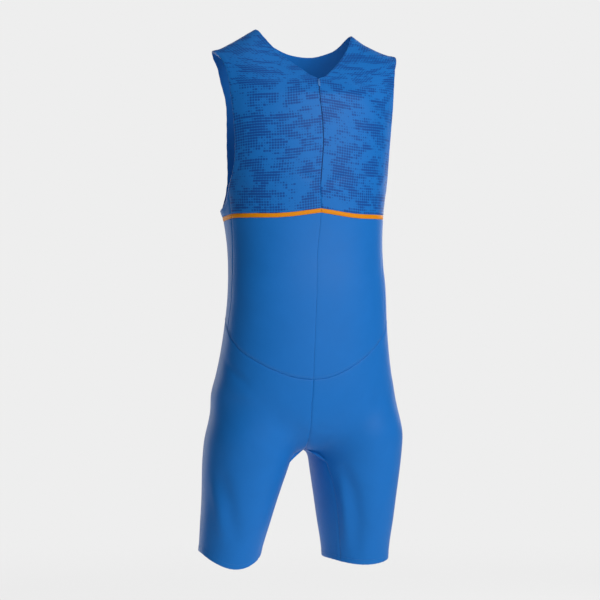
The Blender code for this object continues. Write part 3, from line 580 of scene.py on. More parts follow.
    def hem_height(self, side: Side, angle: Array | float) -> Array:
        """The height of the hem at an angle round the leg."""
        leg, ahead, out = LEGS[side], np.cos(np.radians(angle)), np.sin(np.radians(angle))
        front_back = np.where(ahead > 0, leg.hem_front, leg.hem_back)
        return front_back * ahead**2 + np.where(out > 0, leg.hem_outer, leg.hem_inner) * out**2

    def inseam_line(self, side: Side, meeting: Array) -> Array:
        """Points down a leg's inseam, from the crotch to the hem."""
        foot = self.hem_height(side, -float(self.inseam.read("inward", self.hem_about)))
        heights = np.linspace(self.form.crotch_height, float(foot), self.inseam_samples)[self.clear :]
        line = self.by_leg_angle(side, -self.inseam.read("inward", heights), heights)
        return evenly(np.concatenate([meeting[None], line]), self.leg_rows)


def between(bottom: Array, top: Array, start: Array, end: Array) -> Array:
    """A grid of points between four edges; rows run from bottom to top."""
    v = np.linspace(0, 1, len(start))[:, None, None]
    u = np.linspace(0, 1, len(bottom))[None, :, None]
    rows = (1 - v) * bottom[None] + v * top[None]
    columns = (1 - u) * start[:, None] + u * end[:, None]
    corners = (1 - v) * ((1 - u) * bottom[0] + u * bottom[-1])
    corners = corners + v * ((1 - u) * top[0] + u * top[-1])
    return rows + columns - corners


def from_edges(top: Array, foot: Array, first: Array, last: Array, fade: float) -> Array:
    """Spreads one value over a grid from its values along the four edges.

    Args:
        top: Values along the first row.
        foot: Values along the last row.
        first: Values down the first column.
        last: Values down the last column.
        fade: How fast the side edges' say fades away from them.

    Returns:
        The value at each of the grid's points.
    """
    u, v = np.linspace(0, 1, len(top))[None], np.linspace(0, 1, len(first))[:, None]
    rows = (1 - v) * top[None] + v * foot[None]
    from_first = (1 - u) ** fade * (first[:, None] - rows[:, :1])
    return rows + from_first + u**fade * (last[:, None] - rows[:, -1:])


# ---------------------------------------------------------------- creases


# Each crease's width, its depth (a trough over 0, a ridge under 0) and points near it.
CREASES = (
    # from the neck to the left armhole, over the chest
    (8, 0.9, (30, -82, -94), (84, -82, -112), (138, -58, -146)),
    (10, -0.8, (32, -94, -112), (86, -86, -138), (130, -66, -176)),
    (10, 0.8, (-34, -88, -108), (-84, -84, -122), (-128, -62, -150)),
    (13, -0.6, (-52, -97, -143), (-96, -86, -150), (-132, -64, -172)),
    (9, 0.7, (-58, -59, -61), (-104, -54, -60), (-146, -42, -74)),
    (11, 0.7, (-59, -97, -275), (-100, -86, -256), (-132, -56, -240)),
    # round the zip's foot
    (5, 0.8, (-5, -103, -270), (-22, -103, -262), (-42, -101, -250)),
    (5, 0.9, (4, -103, -270), (24, -103, -264), (46, -101, -252)),
    (5, -0.5, (-5, -103, -280), (-20, -103, -290)),
    # under the arms
    (8, 0.9, (138, -42, -262), (120, -66, -282), (96, -82, -292)),
    (9, 0.9, (-138, -42, -270), (-122, -64, -288), (-100, -80, -300)),
    (10, 1.1, (136, 30, -300), (120, 66, -300), (96, 84, -288)),
    (11, 1.0, (-136, 34, -298), (-118, 70, -292), (-92, 86, -276)),
    # across the waist at the sides and behind
    (10, 0.8, (-135, -19, -403), (-124, -60, -410), (-94, -84, -416)),
    (12, 0.7, (-137, -2, -468), (-128, -50, -478), (-103, -80, -484)),
    (11, 0.8, (132, -36, -412), (112, -72, -420), (70, -94, -426)),
    (13, 0.6, (128, -60, -456), (100, -86, -468), (50, -102, -466)),
    (12, 1.9, (-118, 46, -420), (-76, 82, -436), (-20, 88, -440)),
    (11, 1.7, (116, 48, -408), (80, 80, -422), (28, 88, -424)),
    (14, 1.6, (-110, 54, -462), (-56, 84, -476), (12, 90, -470)),
    (12, 1.6, (114, 52, -456), (84, 78, -466), (44, 88, -464)),
    (13, 1.3, (-90, 70, -510), (-30, 88, -518)),
    (12, -1.0, (-104, 60, -442), (-60, 84, -456), (-6, 90, -455)),
    # over the hips and at the top of the thighs
    (7, 1.5, (-149, -17, -568), (-138, -48, -592), (-118, -73, -616)),
    (12, -0.9, (-153, -16, -600), (-140, -52, -622), (-104, -80, -640)),
    (14, 0.9, (-86, -80, -660), (-60, -86, -690), (-30, -82, -702)),
    (15, 0.9, (128, -70, -640), (90, -88, -676), (44, -84, -700)),
    (4, 0.9, (-2, -82, -688), (14, -80, -691), (32, -78, -687)),
    (5, 0.8, (-6, -78, -700), (-20, -78, -698), (-38, -78, -688)),
    # down the right thigh, pulled towards its outside
    (13, 3.4, (-160, -41, -757), (-147, -46, -817), (-134, -37, -886)),
    (10, -2.4, (-172, -22, -777), (-162, -30, -820), (-152, -28, -872)),
    # down the inside of the left thigh
    (12, 3.2, (51, -57, -746), (73, -57, -800), (83, -50, -850), (87, -33, -914)),
    (9, -3.4, (56, -42, -770), (66, -36, -830), (72, -26, -900)),
    (9, -0.8, (144, -68, -711), (138, -62, -780), (126, -54, -842)),
    # under the seat and behind the knees
    (13, 2.2, (-130, 92, -704), (-88, 114, -716), (-40, 112, -716)),
    (12, 2.0, (134, 84, -708), (92, 108, -722), (46, 108, -718)),
    (10, 1.4, (-118, 96, -752), (-70, 104, -748)),
    (9, 1.5, (-160, 70, -870), (-134, 92, -880), (-104, 96, -884)),
    (10, 1.4, (150, 60, -874), (124, 84, -884), (92, 86, -890)),
    # down the outside of the left thigh
    (14, 0.9, (172, -10, -690), (170, 0, -760), (160, 10, -840)),
    # between the shoulder blades
    (13, 1.4, (-20, 96, -156), (-60, 96, -142), (-96, 84, -120)),
    (12, 1.4, (24, 96, -166), (64, 96, -150), (104, 82, -132)),
    (15, 1.2, (-70, 96, -250), (-20, 104, -262)),
)


@dataclass
class Drape:
    """All the creases that show, and like ones where the photograph doesn't reach."""

    form: BodyForm
    fade_power: float = 0.6
    near_end: float = 0.01
    reach: float = 2.6
    wave: float = 0.12
    wave_start: float = 0.6
    wave_lengths: tuple[float, ...] = (31, 47, 39, 28)
    path_step: float = 1.5
    least_steps: int = 24
    soften: int = 7

    def __post_init__(self) -> None:
        """Lays every crease on the form."""
        self.paths = [self.laid(np.array(places, float)) for _, _, *places in CREASES]

    def laid(self, rough: Array) -> Array:
        """Points close together along a crease, on the form."""
        steps = max(self.least_steps, int(length_of(rough) / self.path_step))
        path = self.form.lay(evenly(rough, steps))
        path = np.pad(path, ((self.soften // 2,) * 2, (0, 0)), mode="edge")
        kernel = np.ones(self.soften) / self.soften
        return points_of([np.convolve(way, kernel, "valid") for way in path.T])

    def relief(self, p: Array) -> Array:
        """How far all creases and the cloth's slow waves move points outwards.

        Args:
            p: Points on the cloth.

        Returns:
            A length for each point, minus inwards.
        """
        x, y, z = p[..., 0], p[..., 1], p[..., 2]
        one, two, three, four = self.wave_lengths
        slow = np.sin(x / one + z / two + self.wave_start) * np.sin(z / three - y / four)
        total = self.wave * slow
        for (width, depth, *_), path in zip(CREASES, self.paths):
            room = width * self.reach
            close = ((p > path.min(0) - room) & (p < path.max(0) + room)).all(-1)
            if not close.any():
                continue
            apart = np.linalg.norm(p[close][:, None] - path[None], axis=-1)
            along = np.clip(apart.argmin(1) / (len(path) - 1), self.near_end, 1 - self.near_end)
            ease = np.sin(np.pi * along) ** self.fade_power
            total[close] -= depth * fading(apart.min(1), width) * ease
        return total


# ---------------------------------------------------------------- meshes


def add_object(name: str, data: bpy.types.ID) -> bpy.types.Object:
    """Puts a mesh, a lamp or a camera in the scene."""
    thing = bpy.data.objects.new(name, data)
    bpy.context.scene.collection.objects.link(thing)
    return thing


def add_mesh(name: str, dots: Array, faces: list, place: Array | None = None) -> bpy.types.Object:
    """Makes a smooth object of closed shells.

    Args:
        name: The object's name.
        dots: Its points, in millimetres.
        faces: Its faces, as lists of point numbers.
        place: Each point's place on the cloth in metres, if it is cloth. Cloth has its
            doubled points merged, and anything else its small open ends filled.

    Returns:
        The object.
    """
    mesh = bpy.data.meshes.new(name)
    mesh.from_pydata((dots * MM).tolist(), [], faces)
    if place is not None:
        corners = np.empty(len(mesh.loops), dtype=np.int32)
        mesh.loops.foreach_get("vertex_index", corners)
        layer = mesh.uv_layers.new(name="cloth")
        layer.data.foreach_set("uv", place[corners].astype(np.float32).ravel())
    shape = bmesh.new()
    shape.from_mesh(mesh)
    if place is not None:
        bmesh.ops.remove_doubles(shape, verts=shape.verts, dist=MERGE_WITHIN)
    else:
        ends = [edge for edge in shape.edges if edge.is_boundary]
        bmesh.ops.holes_fill(shape, edges=ends, sides=OPEN_END_SIDES)
    bmesh.ops.recalc_face_normals(shape, faces=shape.faces)
    shape.to_mesh(mesh)
    shape.free()
    mesh.shade_smooth()
    if place is not None:
        mesh.set_sharp_from_angle(angle=SHARP_ANGLE)
    return add_object(name, mesh)


class Shells:
    """The points, faces and places on the cloth of one piece, gathered grid by grid."""

    def __init__(self) -> None:
        """Starts with nothing."""
        self.dots: list[Array] = []
        self.faces: list[Array] = []
        self.places: list[Array] = []
        self.count = 0

    def add(self, sides: Sequence[Array], ends: Ends = ALL_ROUND, flip: bool = False) -> None:
        """Adds one thin shell.

        Args:
            sides: The grids of its outer and inner side, and of its places on the cloth.
            ends: Whether its bottom, top, start and end are edges.
            flip: Whether its faces turn the other way round.
        """
        outer, inner, place = sides
        index = np.arange(outer[..., 0].size).reshape(outer.shape[:2]) + self.count
        wall = index + index.size
        self.dots += [outer.reshape(-1, 3), inner.reshape(-1, 3)]
        self.places += [place.reshape(-1, 2)] * 2
        self.count += 2 * index.size
        for grid, turned in ((index, flip), (wall, not flip)):
            self.quads([grid[:-1, :-1], grid[:-1, 1:], grid[1:, 1:], grid[1:, :-1]], turned)
        rims = ((index[0], wall[0], False), (index[-1], wall[-1], True),
                (index[:, 0], wall[:, 0], True), (index[:, -1], wall[:, -1], False))
        for is_edge, (near, far, turned) in zip(ends, rims):
            if is_edge:
                self.quads([near[:-1], far[:-1], far[1:], near[1:]], turned != flip)

    def quads(self, corners: list[Array], turned: bool) -> None:
        """Adds faces by the numbers of their four corners."""
        self.faces.append(np.stack(corners[::-1] if turned else corners, axis=-1).reshape(-1, 4))

    def piece(self, name: str) -> bpy.types.Object:
        """Makes an object of everything gathered."""
        dots, faces, places = map(np.concatenate, (self.dots, self.faces, self.places))
        return add_mesh(name, dots, faces.tolist(), places)


# ---------------------------------------------------------------- cloth


@dataclass
class Cloth:
    """Turns grids into a thin shell with sunk seams, turned edges and creases."""

    form: BodyForm
    drape: Drape
    thickness: float = 1.2
    inner_off: float = 0.05
    thinnest: float = 0.2
    seam_gap: float = 0.3
    seam_sink: float = 0.95
    seam_width: float = 1.0
    faint_sink: float = 0.3
    faint_width: float = 1.6
    turned_extra: float = 0.35
    turned_depth: float = 9.0
    turned_soft: float = 0.5
    rim_drop: float = 0.35
    rim_rise: float = 0.25
    rim_width: float = 0.35
    groove: float = 0.3
    groove_width: float = 0.7
    edge_steps: tuple[float, ...] = (0.1, 0.25, 0.5)
    at_once: int = 64

    def refine(self, grid: Array, both: bool = False) -> Array:
        """Adds rows close to a grid's first row and, with both, close to its last one."""
        first, last = grid[:1], grid[-1:]
        rows = [first] + [first * (1 - t) + grid[1:2] * t for t in self.edge_steps] + [grid[1:-1]]
        if both:
            rows += [last * (1 - t) + grid[-2:-1] * t for t in self.edge_steps[::-1]]
        return np.concatenate(rows + [last])

    def refine_all(self, grid: Array) -> Array:
        """Adds rows and columns close to all four of a grid's edges."""
        rows = self.refine(grid, both=True)
        return np.swapaxes(self.refine(np.swapaxes(rows, 0, 1), both=True), 0, 1)

    def draw_in(self, grid: Array, room: Sequence[Array | float]) -> Array:
        """Moves a grid's edges inwards.

        Args:
            grid: The grid.
            room: How far the points of its bottom, top, start and end move.

        Returns:
            The moved grid.
        """
        moved = grid.copy()
        edges = ((np.s_[0, :], np.s_[1, :]), (np.s_[-1, :], np.s_[-2, :]),
                 (np.s_[:, 0], np.s_[:, 1]), (np.s_[:, -1], np.s_[:, -2]))
        for amount, (edge, inner) in zip(room, edges):
            line = grid[edge]
            along = unit(np.gradient(line, axis=0))
            inwards = grid[inner] - line
            inwards = unit(inwards - along * (inwards * along).sum(-1, keepdims=True))
            moved[edge] += inwards * np.broadcast_to(amount, len(line))[:, None]
        return moved

    def near(self, p: Array, line: Array) -> Array:
        """The distance of points from a polyline, read at every millimetre of it."""
        dense = evenly(line, max(8, int(length_of(line))))
        flat = p.reshape(-1, 3)
        found = np.full(len(flat), 1e9)
        for low in range(0, len(dense), self.at_once):
            some = dense[low : low + self.at_once]
            found = np.minimum(found, ((flat[:, None] - some[None]) ** 2).sum(-1).min(1))
        return np.sqrt(found).reshape(p.shape[:-1])

    def offsets(
        self, grid: Array, seams: Sequence[Array], turned: Sequence[Array], faint: Sequence[Array]
    ) -> tuple[Array, Array]:
        """How far the outer and inner sides lie outside the form, at each point."""
        relief = self.drape.relief(grid)
        outer, inner = self.thickness + relief, self.inner_off + relief
        for line in seams:
            outer = outer - self.seam_sink * fading(self.near(grid, line), self.seam_width)
        for line in faint:
            outer = outer - self.faint_sink * fading(self.near(grid, line), self.faint_width)
        for line in turned:
            off = self.near(grid, line)
            inside = 1 / (1 + np.exp((off - self.turned_depth) / self.turned_soft))
            outer = outer + self.turned_extra * inside * (1 - fading(off, self.turned_soft))
            outer = outer - self.rim_drop * fading(off, self.rim_width)
            outer = outer - self.groove * fading(off - self.turned_depth, self.groove_width)
            inner = inner + self.rim_rise * fading(off, self.rim_width)
        return np.maximum(outer, inner + self.thinnest), inner

    def build(
        self, name: str, parts: Sequence[tuple[Array, Ends]], seams: Sequence[Array],
        turned: Sequence[Array] = (), faint: Sequence[Array] = (),
        prints: tuple[float, float] = (0.0, 0.0),
    ) -> bpy.types.Object:
        """Makes one cut piece.

        Args:
            name: The piece's name.
            parts: Its grids, each with whether its bottom, top, start and end are edges.
            seams: Polylines that its seams follow.
            turned: Polylines that its turned edges follow.
            faint: Polylines that its flat, hardly seen seams follow.
            prints: Where the print's own pattern starts, in metres.

        Returns:
            The piece, as a closed shell.
        """
        shells = Shells()
        for grid, ends in parts:
            facing = self.form.normal(grid)
            across = np.cross(grid[0, 1] - grid[0, 0], grid[1, 0] - grid[0, 0])
            sides = [grid + facing * off[..., None] for off in self.offsets(grid, seams, turned, faint)]
            sides.append(self.lengths(grid) * MM + np.array(prints))
            shells.add(sides, ends, float(across @ facing[0, 0]) < 0)
        return shells.piece(name)

    @staticmethod
    def lengths(grid: Array) -> Array:
        """Each point's place across and up the cut piece, measured along the cloth."""
        ways = []
        for axis in (1, 0):
            steps = np.linalg.norm(np.diff(grid, axis=axis), axis=-1)
            start = np.zeros_like(np.take(steps, [0], axis=axis))
            ways.append(np.concatenate([start, np.cumsum(steps, axis=axis)], axis=axis))
        return np.stack(ways, axis=-1)


# ---------------------------------------------------------------- finishes


def srgb(code: str) -> tuple[float, float, float, float]:
    """A linear colour from an sRGB hex code."""
    parts = [int(code[k : k + 2], 16) / 255 for k in (1, 3, 5)]
    line = [c / 12.92 if c <= 0.04045 else ((c + 0.055) / 1.055) ** 2.4 for c in parts]
    return (*line, 1.0)


@dataclass
class Graph:
    """A node tree, with short words for the nodes that the looks are made of."""

    tree: bpy.types.NodeTree

    def feed(self, node: bpy.types.Node, links: dict[str | int, object]) -> None:
        """Links or sets a node's inputs, by their names or numbers."""
        for key, value in links.items():
            if isinstance(value, Socket):
                self.tree.links.new(value, node.inputs[key])
            else:
                node.inputs[key].default_value = value

    def add(
        self, kind: str, links: dict | None = None, output: str | int = 0, **settings: object
    ) -> Socket | None:
        """Adds a node.

        Args:
            kind: The node's type.
            links: Values or sockets, by input name or number.
            output: The output that is wanted.
            settings: The node's own properties.

        Returns:
            The output, if the node has any.
        """
        node = self.tree.nodes.new("ShaderNode" + kind)
        for key, value in settings.items():
            setattr(node, key, value)
        self.feed(node, links or {})
        return node.outputs[output] if len(node.outputs) else None

    def noise(self, place: Socket, scale: float, detail: float, **more: float) -> Socket:
        """Soft noise from 0 to 1."""
        return self.add("TexNoise", {"Vector": place, "Scale": scale, "Detail": detail, **more}, "Fac")

    def waves(self, place: Socket, length: float, way: str, **more: float) -> Socket:
        """Bands that follow each other along an axis, each of a length in metres."""
        scale = math.pi / 10 / length
        return self.add("TexWave", {"Vector": place, "Scale": scale, **more}, "Fac", bands_direction=way)

    def mapped(self, place: Socket, location: tuple, scale: tuple) -> Socket:
        """A moved and scaled place."""
        return self.add("Mapping", {"Vector": place, "Location": location, "Scale": scale})

    def mix(self, share: Socket, one: object, two: object) -> Socket:
        """A colour between two, by a share from 0 to 1."""
        return self.add("Mix", {0: share, 6: one, 7: two}, 2, data_type="RGBA")

    def spread(self, value: Socket, low: float, high: float, start: float, end: float,
               **settings: object) -> Socket:
        """Maps low to high onto start to end."""
        links = {"Value": value, "From Min": low, "From Max": high, "To Min": start, "To Max": end}
        return self.add("MapRange", links, **settings)

    def vector(self, operation: str, one: Socket, links: dict | None = None,
               output: str | int = 0) -> Socket:
        """One step of arithmetic on vectors."""
        return self.add("VectorMath", {0: one, **(links or {})}, output, operation=operation)

    def number(self, operation: str, one: Socket, two: Socket) -> Socket:
        """One step of arithmetic on two numbers."""
        return self.add("Math", {0: one, 1: two}, operation=operation)

    def bump(self, height: Socket, strength: float, distance: float) -> Socket:
        """Fine relief, too small for the mesh."""
        return self.add("Bump", {"Height": height, "Strength": strength, "Distance": distance})


@dataclass(frozen=True)
class Finish:
    """What every finish has: a name and a colour."""

    name: str
    colour: str

    def make(self) -> bpy.types.Material:
        """Makes the material."""
        material = bpy.data.materials.new(self.name)
        material.use_nodes = True
        graph = Graph(material.node_tree)
        graph.feed(graph.tree.nodes["Principled BSDF"], self.inputs(graph))
        return material


@dataclass(frozen=True)
class KnitFinish(Finish):
    """Warp-knitted polyamide and elastane, dyed in the piece and calendered.

    The eye sees a smooth, close cloth with a faint sheen that turns pale where it is
    seen at a slant, and fine upright ribs.
    """

    deep: str
    print_colour: str | None = None
    wale: float = 1.1  # the real ribs lie 0.5 mm apart, too fine to show
    course: float = 0.88
    dot_pitch: float = 4.6
    roughness: float = 0.52
    sheen: float = 0.42
    sheen_roughness: float = 0.25
    sheen_tint: str = "#D8D2DC"
    specular: float = 0.15
    patches: tuple[float, float] = (22.0, 3.0)  # scale and detail
    relief: tuple[float, float] = (0.25, 0.00012)  # strength and depth in metres

    def inputs(self, graph: Graph) -> dict[str, object]:
        """What the shader is fed with, by input name."""
        cloth = graph.add("UVMap", uv_map="cloth")
        patchy = graph.noise(cloth, *self.patches, Roughness=0.6)
        colour = graph.mix(patchy, srgb(self.deep), srgb(self.colour))
        if self.print_colour:
            colour = graph.mix(self.dots(graph, cloth), colour, srgb(self.print_colour))
        bends = {"Distortion": 0.4, "Detail": 1.0, "Detail Scale": 2.0}
        ribs = graph.waves(cloth, self.wale * MM, "X", **bends)
        stitches = graph.waves(cloth, self.course * MM, "Y", Distortion=0.3)
        return {
            "Base Color": colour,
            "Roughness": graph.spread(patchy, 0, 1, self.roughness - 0.05, self.roughness + 0.06),
            "Normal": graph.bump(graph.number("MULTIPLY", ribs, stitches), *self.relief),
            "Sheen Weight": self.sheen,
            "Sheen Roughness": self.sheen_roughness,
            "Sheen Tint": srgb(self.sheen_tint),
            "Specular IOR Level": self.specular,
        }

    def dots(self, graph: Graph, cloth: Socket) -> Socket:
        """Draws the print: rows of dots that swell and fade in long soft patches.

        Args:
            graph: The material's nodes.
            cloth: The place on the cloth.

        Returns:
            How much of the print shows, from 0 to 1.
        """
        cells = graph.vector("SCALE", cloth, {"Scale": 1 / (self.dot_pitch * MM)})
        corner = graph.vector("FLOOR", cells)
        centred = graph.vector("SUBTRACT", graph.vector("FRACTION", cells), {1: (0.5, 0.5, 0.0)})
        patches = graph.mapped(corner, (3.7, 11.2, 0.4), (0.17, 0.32, 1.0))
        patch = graph.noise(patches, 1.0, 4.0, Roughness=0.6, Distortion=0.3)
        radius = graph.spread(patch, 0.42, 0.54, 0.0, 0.44)
        streak = graph.noise(graph.mapped(corner, (31.0, 5.0, 2.0), (0.08, 0.3, 1.0)), 1.0, 1.0)
        narrow = graph.spread(streak, 0.46, 0.6, 1.0, 0.62)
        across = graph.add("SeparateXYZ", {0: centred})
        up = across.node.outputs[1]
        spot = graph.add("CombineXYZ", {0: graph.number("MULTIPLY", across, narrow), 1: up})
        inside = graph.number("SUBTRACT", radius, graph.vector("LENGTH", spot, output="Value"))
        return graph.spread(inside, -0.04, 0.08, 0.0, 0.75)


@dataclass(frozen=True)
class HardFinish(Finish):
    """Small hard or woven parts: lacquered die-cast zinc, moulded nylon, woven tape, thread."""

    roughness: float
    metallic: float = 0.0
    grain: float = 0.4
    bump: float = 0.2
    coat: float = 0.0
    uneven: float = 0.06
    darker: float = 0.7
    bump_depth: float = 0.00008

    def inputs(self, graph: Graph) -> dict[str, object]:
        """What the shader is fed with, by input name."""
        grain = graph.noise(graph.add("TexCoord", output="Object"), 1 / (self.grain * MM), 2.0)
        light, rough, by = srgb(self.colour), self.roughness, self.uneven
        dark = (*(self.darker * part for part in light[:3]), 1.0)
        return {
            "Base Color": graph.mix(grain, dark, light),
            "Roughness": graph.spread(grain, 0, 1, rough - by, rough + by),
            "Normal": graph.bump(grain, self.bump, self.bump_depth),
            "Metallic": self.metallic,
            "Coat Weight": self.coat,
        }


class Finishes:
    """Every finish of the garment, made once."""

    def __init__(self) -> None:
        """Makes the materials."""
        self.plain = KnitFinish("plain_warp_knit", "#166CBC", "#1366B2").make()
        self.printed = KnitFinish("dot_printed_warp_knit", "#166CBC", "#1366B2", "#0A367F").make()
        self.orange = KnitFinish("orange_warp_knit", "#DE8806", "#D68000", sheen=0.25).make()
        self.tape = HardFinish("woven_polyester_tape", "#154C92", 0.75).make()
        self.coil = HardFinish("moulded_nylon_coil", "#1C559F", 0.42).make()
        self.zinc = HardFinish("lacquered_die_cast_zinc", "#4E8FDA", 0.3, 0.25, 0.8, 0.05, 0.4).make()
        self.thread = HardFinish("spun_polyester_thread", "#3C84CF", 0.7, grain=0.25).make()


def dress(thing: bpy.types.Object, look: bpy.types.Material) -> None:
    """Gives a piece its material, its body and its material slot, and reports it."""
    thing.data.materials.clear()
    thing.data.materials.append(look)
    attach(thing, "garment")
    LOG.info("made %s", thing.name)


# ---------------------------------------------------------------- cut pieces


@dataclass
class Tailor:
    """Cuts the garment's pieces on its pattern and sews them up."""

    pattern: Pattern
    cloth: Cloth
    finishes: Finishes
    stretch_round: float = 1.12
    stretch_along: float = 1.05
    shoulder_spans: int = 6
    band_rows: int = 4
    zip_slot: float = 1.6
    zip_ease: int = 4
    print_right: tuple[float, float] = (0.61, 0.37)
    inner_facing: float = -0.3
    least_cut: float = 0.0102  # the band's cut is wider than what shows of it
    leg_back_from: float = 60
    leg_front_from: float = -90
    height_fade: float = 3

    @property
    def half_gap(self) -> float:
        """Half of the gap at a seam."""
        return self.cloth.seam_gap / 2

    def declare(self, piece: bpy.types.Object) -> None:
        """Hides the solid that a piece stands for.

        Args:
            piece: The piece, named like its node with the word cloth in it.
        """
        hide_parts(piece.name.replace("_cloth", ""))

    def make(
        self, name: str, grid: Array, seams: Sequence[Array], room: Sequence | None = None,
        look: bpy.types.Material | None = None, slot: str = "plain_knit", **lines: object,
    ) -> bpy.types.Object:
        """Makes and dresses a piece of one grid, and hides its solid.

        Args:
            name: The piece's name.
            grid: Its points up to the middle of its seams.
            seams: Polylines that its seams follow.
            room: How far its bottom, top, start and end stop short; half a gap if not given.
            look: Its finish, the plain one if not given.
            slot: Its material slot; not used.
            lines: Its turned edges, its faint seams and the start of its print.

        Returns:
            The piece.
        """
        grid = self.cloth.refine_all(self.cloth.draw_in(grid, room or [self.half_gap] * 4))
        piece = self.cloth.build(name, [(grid, ALL_ROUND)], seams, **lines)
        dress(piece, look or self.finishes.plain)
        self.declare(piece)
        return piece

    def chest(self, side: Side) -> None:
        """Makes the printed upper front of one side."""
        cut, gap = self.pattern, self.half_gap
        bottom, seam = cut.band_line(cut.front_angles, side), cut.side_seam(side)
        neck, armhole = cut.neck_front_line(side), cut.armhole_front_line(side)
        top = cut.shoulder_seam(side, len(bottom) - 1)[::-1]
        low_heights = np.linspace(cut.band_top.read("height", 0), cut.zip_foot, cut.side_rows + 1)
        zip_heights = np.linspace(cut.zip_foot, cut.zip_top, cut.zip_rows + 1)
        centre = cut.at_angle(0, join(low_heights, zip_heights))
        grid = between(bottom, top, join(centre, neck), join(seam, armhole))
        grid[1:-1, 1:-1] = cut.settle(grid[1:-1, 1:-1])
        over = np.arange(len(grid)) - cut.side_rows
        slot = gap + (self.zip_slot / 2 - gap) * np.clip(over / self.zip_ease, 0, 1)
        room = [gap, gap, np.where(over <= cut.zip_rows, slot, 0), np.where(over <= 0, gap, 0)]
        piece = self.make(
            f"chest_cloth_{side.word}", grid, [bottom, top, seam, centre[: cut.side_rows + 1]], room,
            self.finishes.printed, "printed_knit", turned=[neck, armhole],
            prints=self.print_right if side is Side.RIGHT else (0.0, 0.0),
        )
        self.leave_unprinted(piece)

    def leave_unprinted(self, piece: bpy.types.Object) -> None:
        """Gives a printed piece's inner side the plain finish."""
        mesh = piece.data
        mesh.materials.append(self.finishes.plain)
        centres, facing = np.empty((2, 3 * len(mesh.polygons)))
        mesh.polygons.foreach_get("center", centres)
        mesh.polygons.foreach_get("normal", facing)
        outwards = self.cloth.form.normal(centres.reshape(-1, 3) / MM)
        inner = (facing.reshape(-1, 3) * outwards).sum(-1) < self.inner_facing
        mesh.polygons.foreach_set("material_index", inner.astype(np.int32))

    def band(self, name: str, runs: Sequence[tuple[Array, Side]]) -> None:
        """Makes a stretch of the orange band, over runs of angles on their sides."""
        drops = np.linspace(self.pattern.band_height, 0, self.band_rows + 1)
        grid = np.stack([
            join(*(self.pattern.band_line(angles, side, drop) for angles, side in runs))
            for drop in drops
        ])
        seams = [grid[0], grid[-1], grid[:, 0], grid[:, -1]]
        self.make(name, grid, seams, look=self.finishes.orange, slot="orange_knit")

    def torso_rows(self, angles: Array, side: Side) -> Array:
        """Rows from the waist seam up to the band, at angles round the body."""
        cut = self.pattern
        low = cut.waist_seam.read("height", angles)
        high = cut.band_top.read("height", angles) - cut.band_height
        v = np.linspace(0, 1, cut.midriff_rows + 1)[:, None]
        return cut.at_angle(side.value * angles[None], (1 - v) * low[None] + v * high[None])

    def midriff(self, side: Side) -> None:
        """Makes the plain lower front of one side, from the flat seam in the middle."""
        grid = self.torso_rows(self.pattern.front_angles, side)
        seams = [grid[0], grid[-1], grid[:, -1]]
        self.make(f"midriff_cloth_{side.word}", grid, seams, faint=[grid[:, 0]])

    def back_lower(self) -> None:
        """Makes the plain lower back."""
        right, left = (self.torso_rows(self.pattern.back_angles, side) for side in Side)
        grid = np.concatenate([right, left[:, -2::-1]], axis=1)
        self.make("back_lower_cloth", grid, [grid[0], grid[-1], grid[:, -1], grid[:, 0]])

    def underarm(self, side: Side) -> Array:
        """The grid of the strip under one arm, from the band up to the armhole."""
        cut, angles = self.pattern, side.value * self.pattern.under_angles
        low, seam = cut.band_line(cut.under_angles, side), cut.side_seam(side)
        high = cut.at_angle(angles, cut.armhole_under.read("height", cut.under_angles))
        high[0] = seam[-1]
        v = np.linspace(0, 1, cut.side_rows + 1)[:, None, None]
        strip = (1 - v) * low[None] + v * high[None]
        strip[1:-1, 1:] = cut.at_angle(angles[None, 1:], strip[1:-1, 1:, 2])
        strip[:, 0] = seam
        return strip

    def back_upper(self) -> None:
        """Makes the upper back: its main part, and the strip under each arm."""
        cut, gap = self.pattern, self.half_gap
        spans = self.shoulder_spans * cut.fine
        shoulders = {side: cut.shoulder_seam(side, spans) for side in Side}
        neck = cut.neck_back_line(2 * (len(cut.half_back_angles) - 1 - spans))
        top = join(shoulders[Side.RIGHT], neck, shoulders[Side.LEFT][::-1])
        right, left = (cut.band_line(cut.half_back_angles, side) for side in Side)
        bottom = join(right, left[::-1])
        strips = {side: self.underarm(side) for side in Side}
        edges, turned = {}, [neck]
        for side, strip in strips.items():
            armhole = cut.armhole_back_line(side, cut.zip_rows + cut.neck_rows - 2 * cut.fine)
            edges[side] = join(strip[:, -1], armhole)
            turned.append(join(strip[-1], armhole))
        main = between(bottom, top, edges[Side.RIGHT], edges[Side.LEFT])
        main[1:-1, 1:-1] = cut.settle(main[1:-1, 1:-1])
        on_shoulder = np.zeros(len(bottom))
        on_shoulder[: spans + 1] = on_shoulder[-spans - 1 :] = gap
        main = self.cloth.refine(self.cloth.draw_in(main, [gap, on_shoulder, 0, 0]))
        parts, seams = [(main, ALL_ROUND)], [bottom, *shoulders.values()]
        joined = cut.side_rows + 1 + len(self.cloth.edge_steps)
        for side, column in ((Side.RIGHT, 0), (Side.LEFT, -1)):
            seams += [strips[side][0], strips[side][:, 0]]
            strip = self.cloth.refine(self.cloth.draw_in(strips[side], [gap, 0, gap, 0]))
            strip[:, -1] = main[:joined, column]
            parts.append((strip, (True, True, True, False)))
        piece = self.cloth.build("back_upper_cloth", parts, seams, turned)
        self.drop_inner_rim(piece)
        dress(piece, self.finishes.plain)
        self.declare(piece)

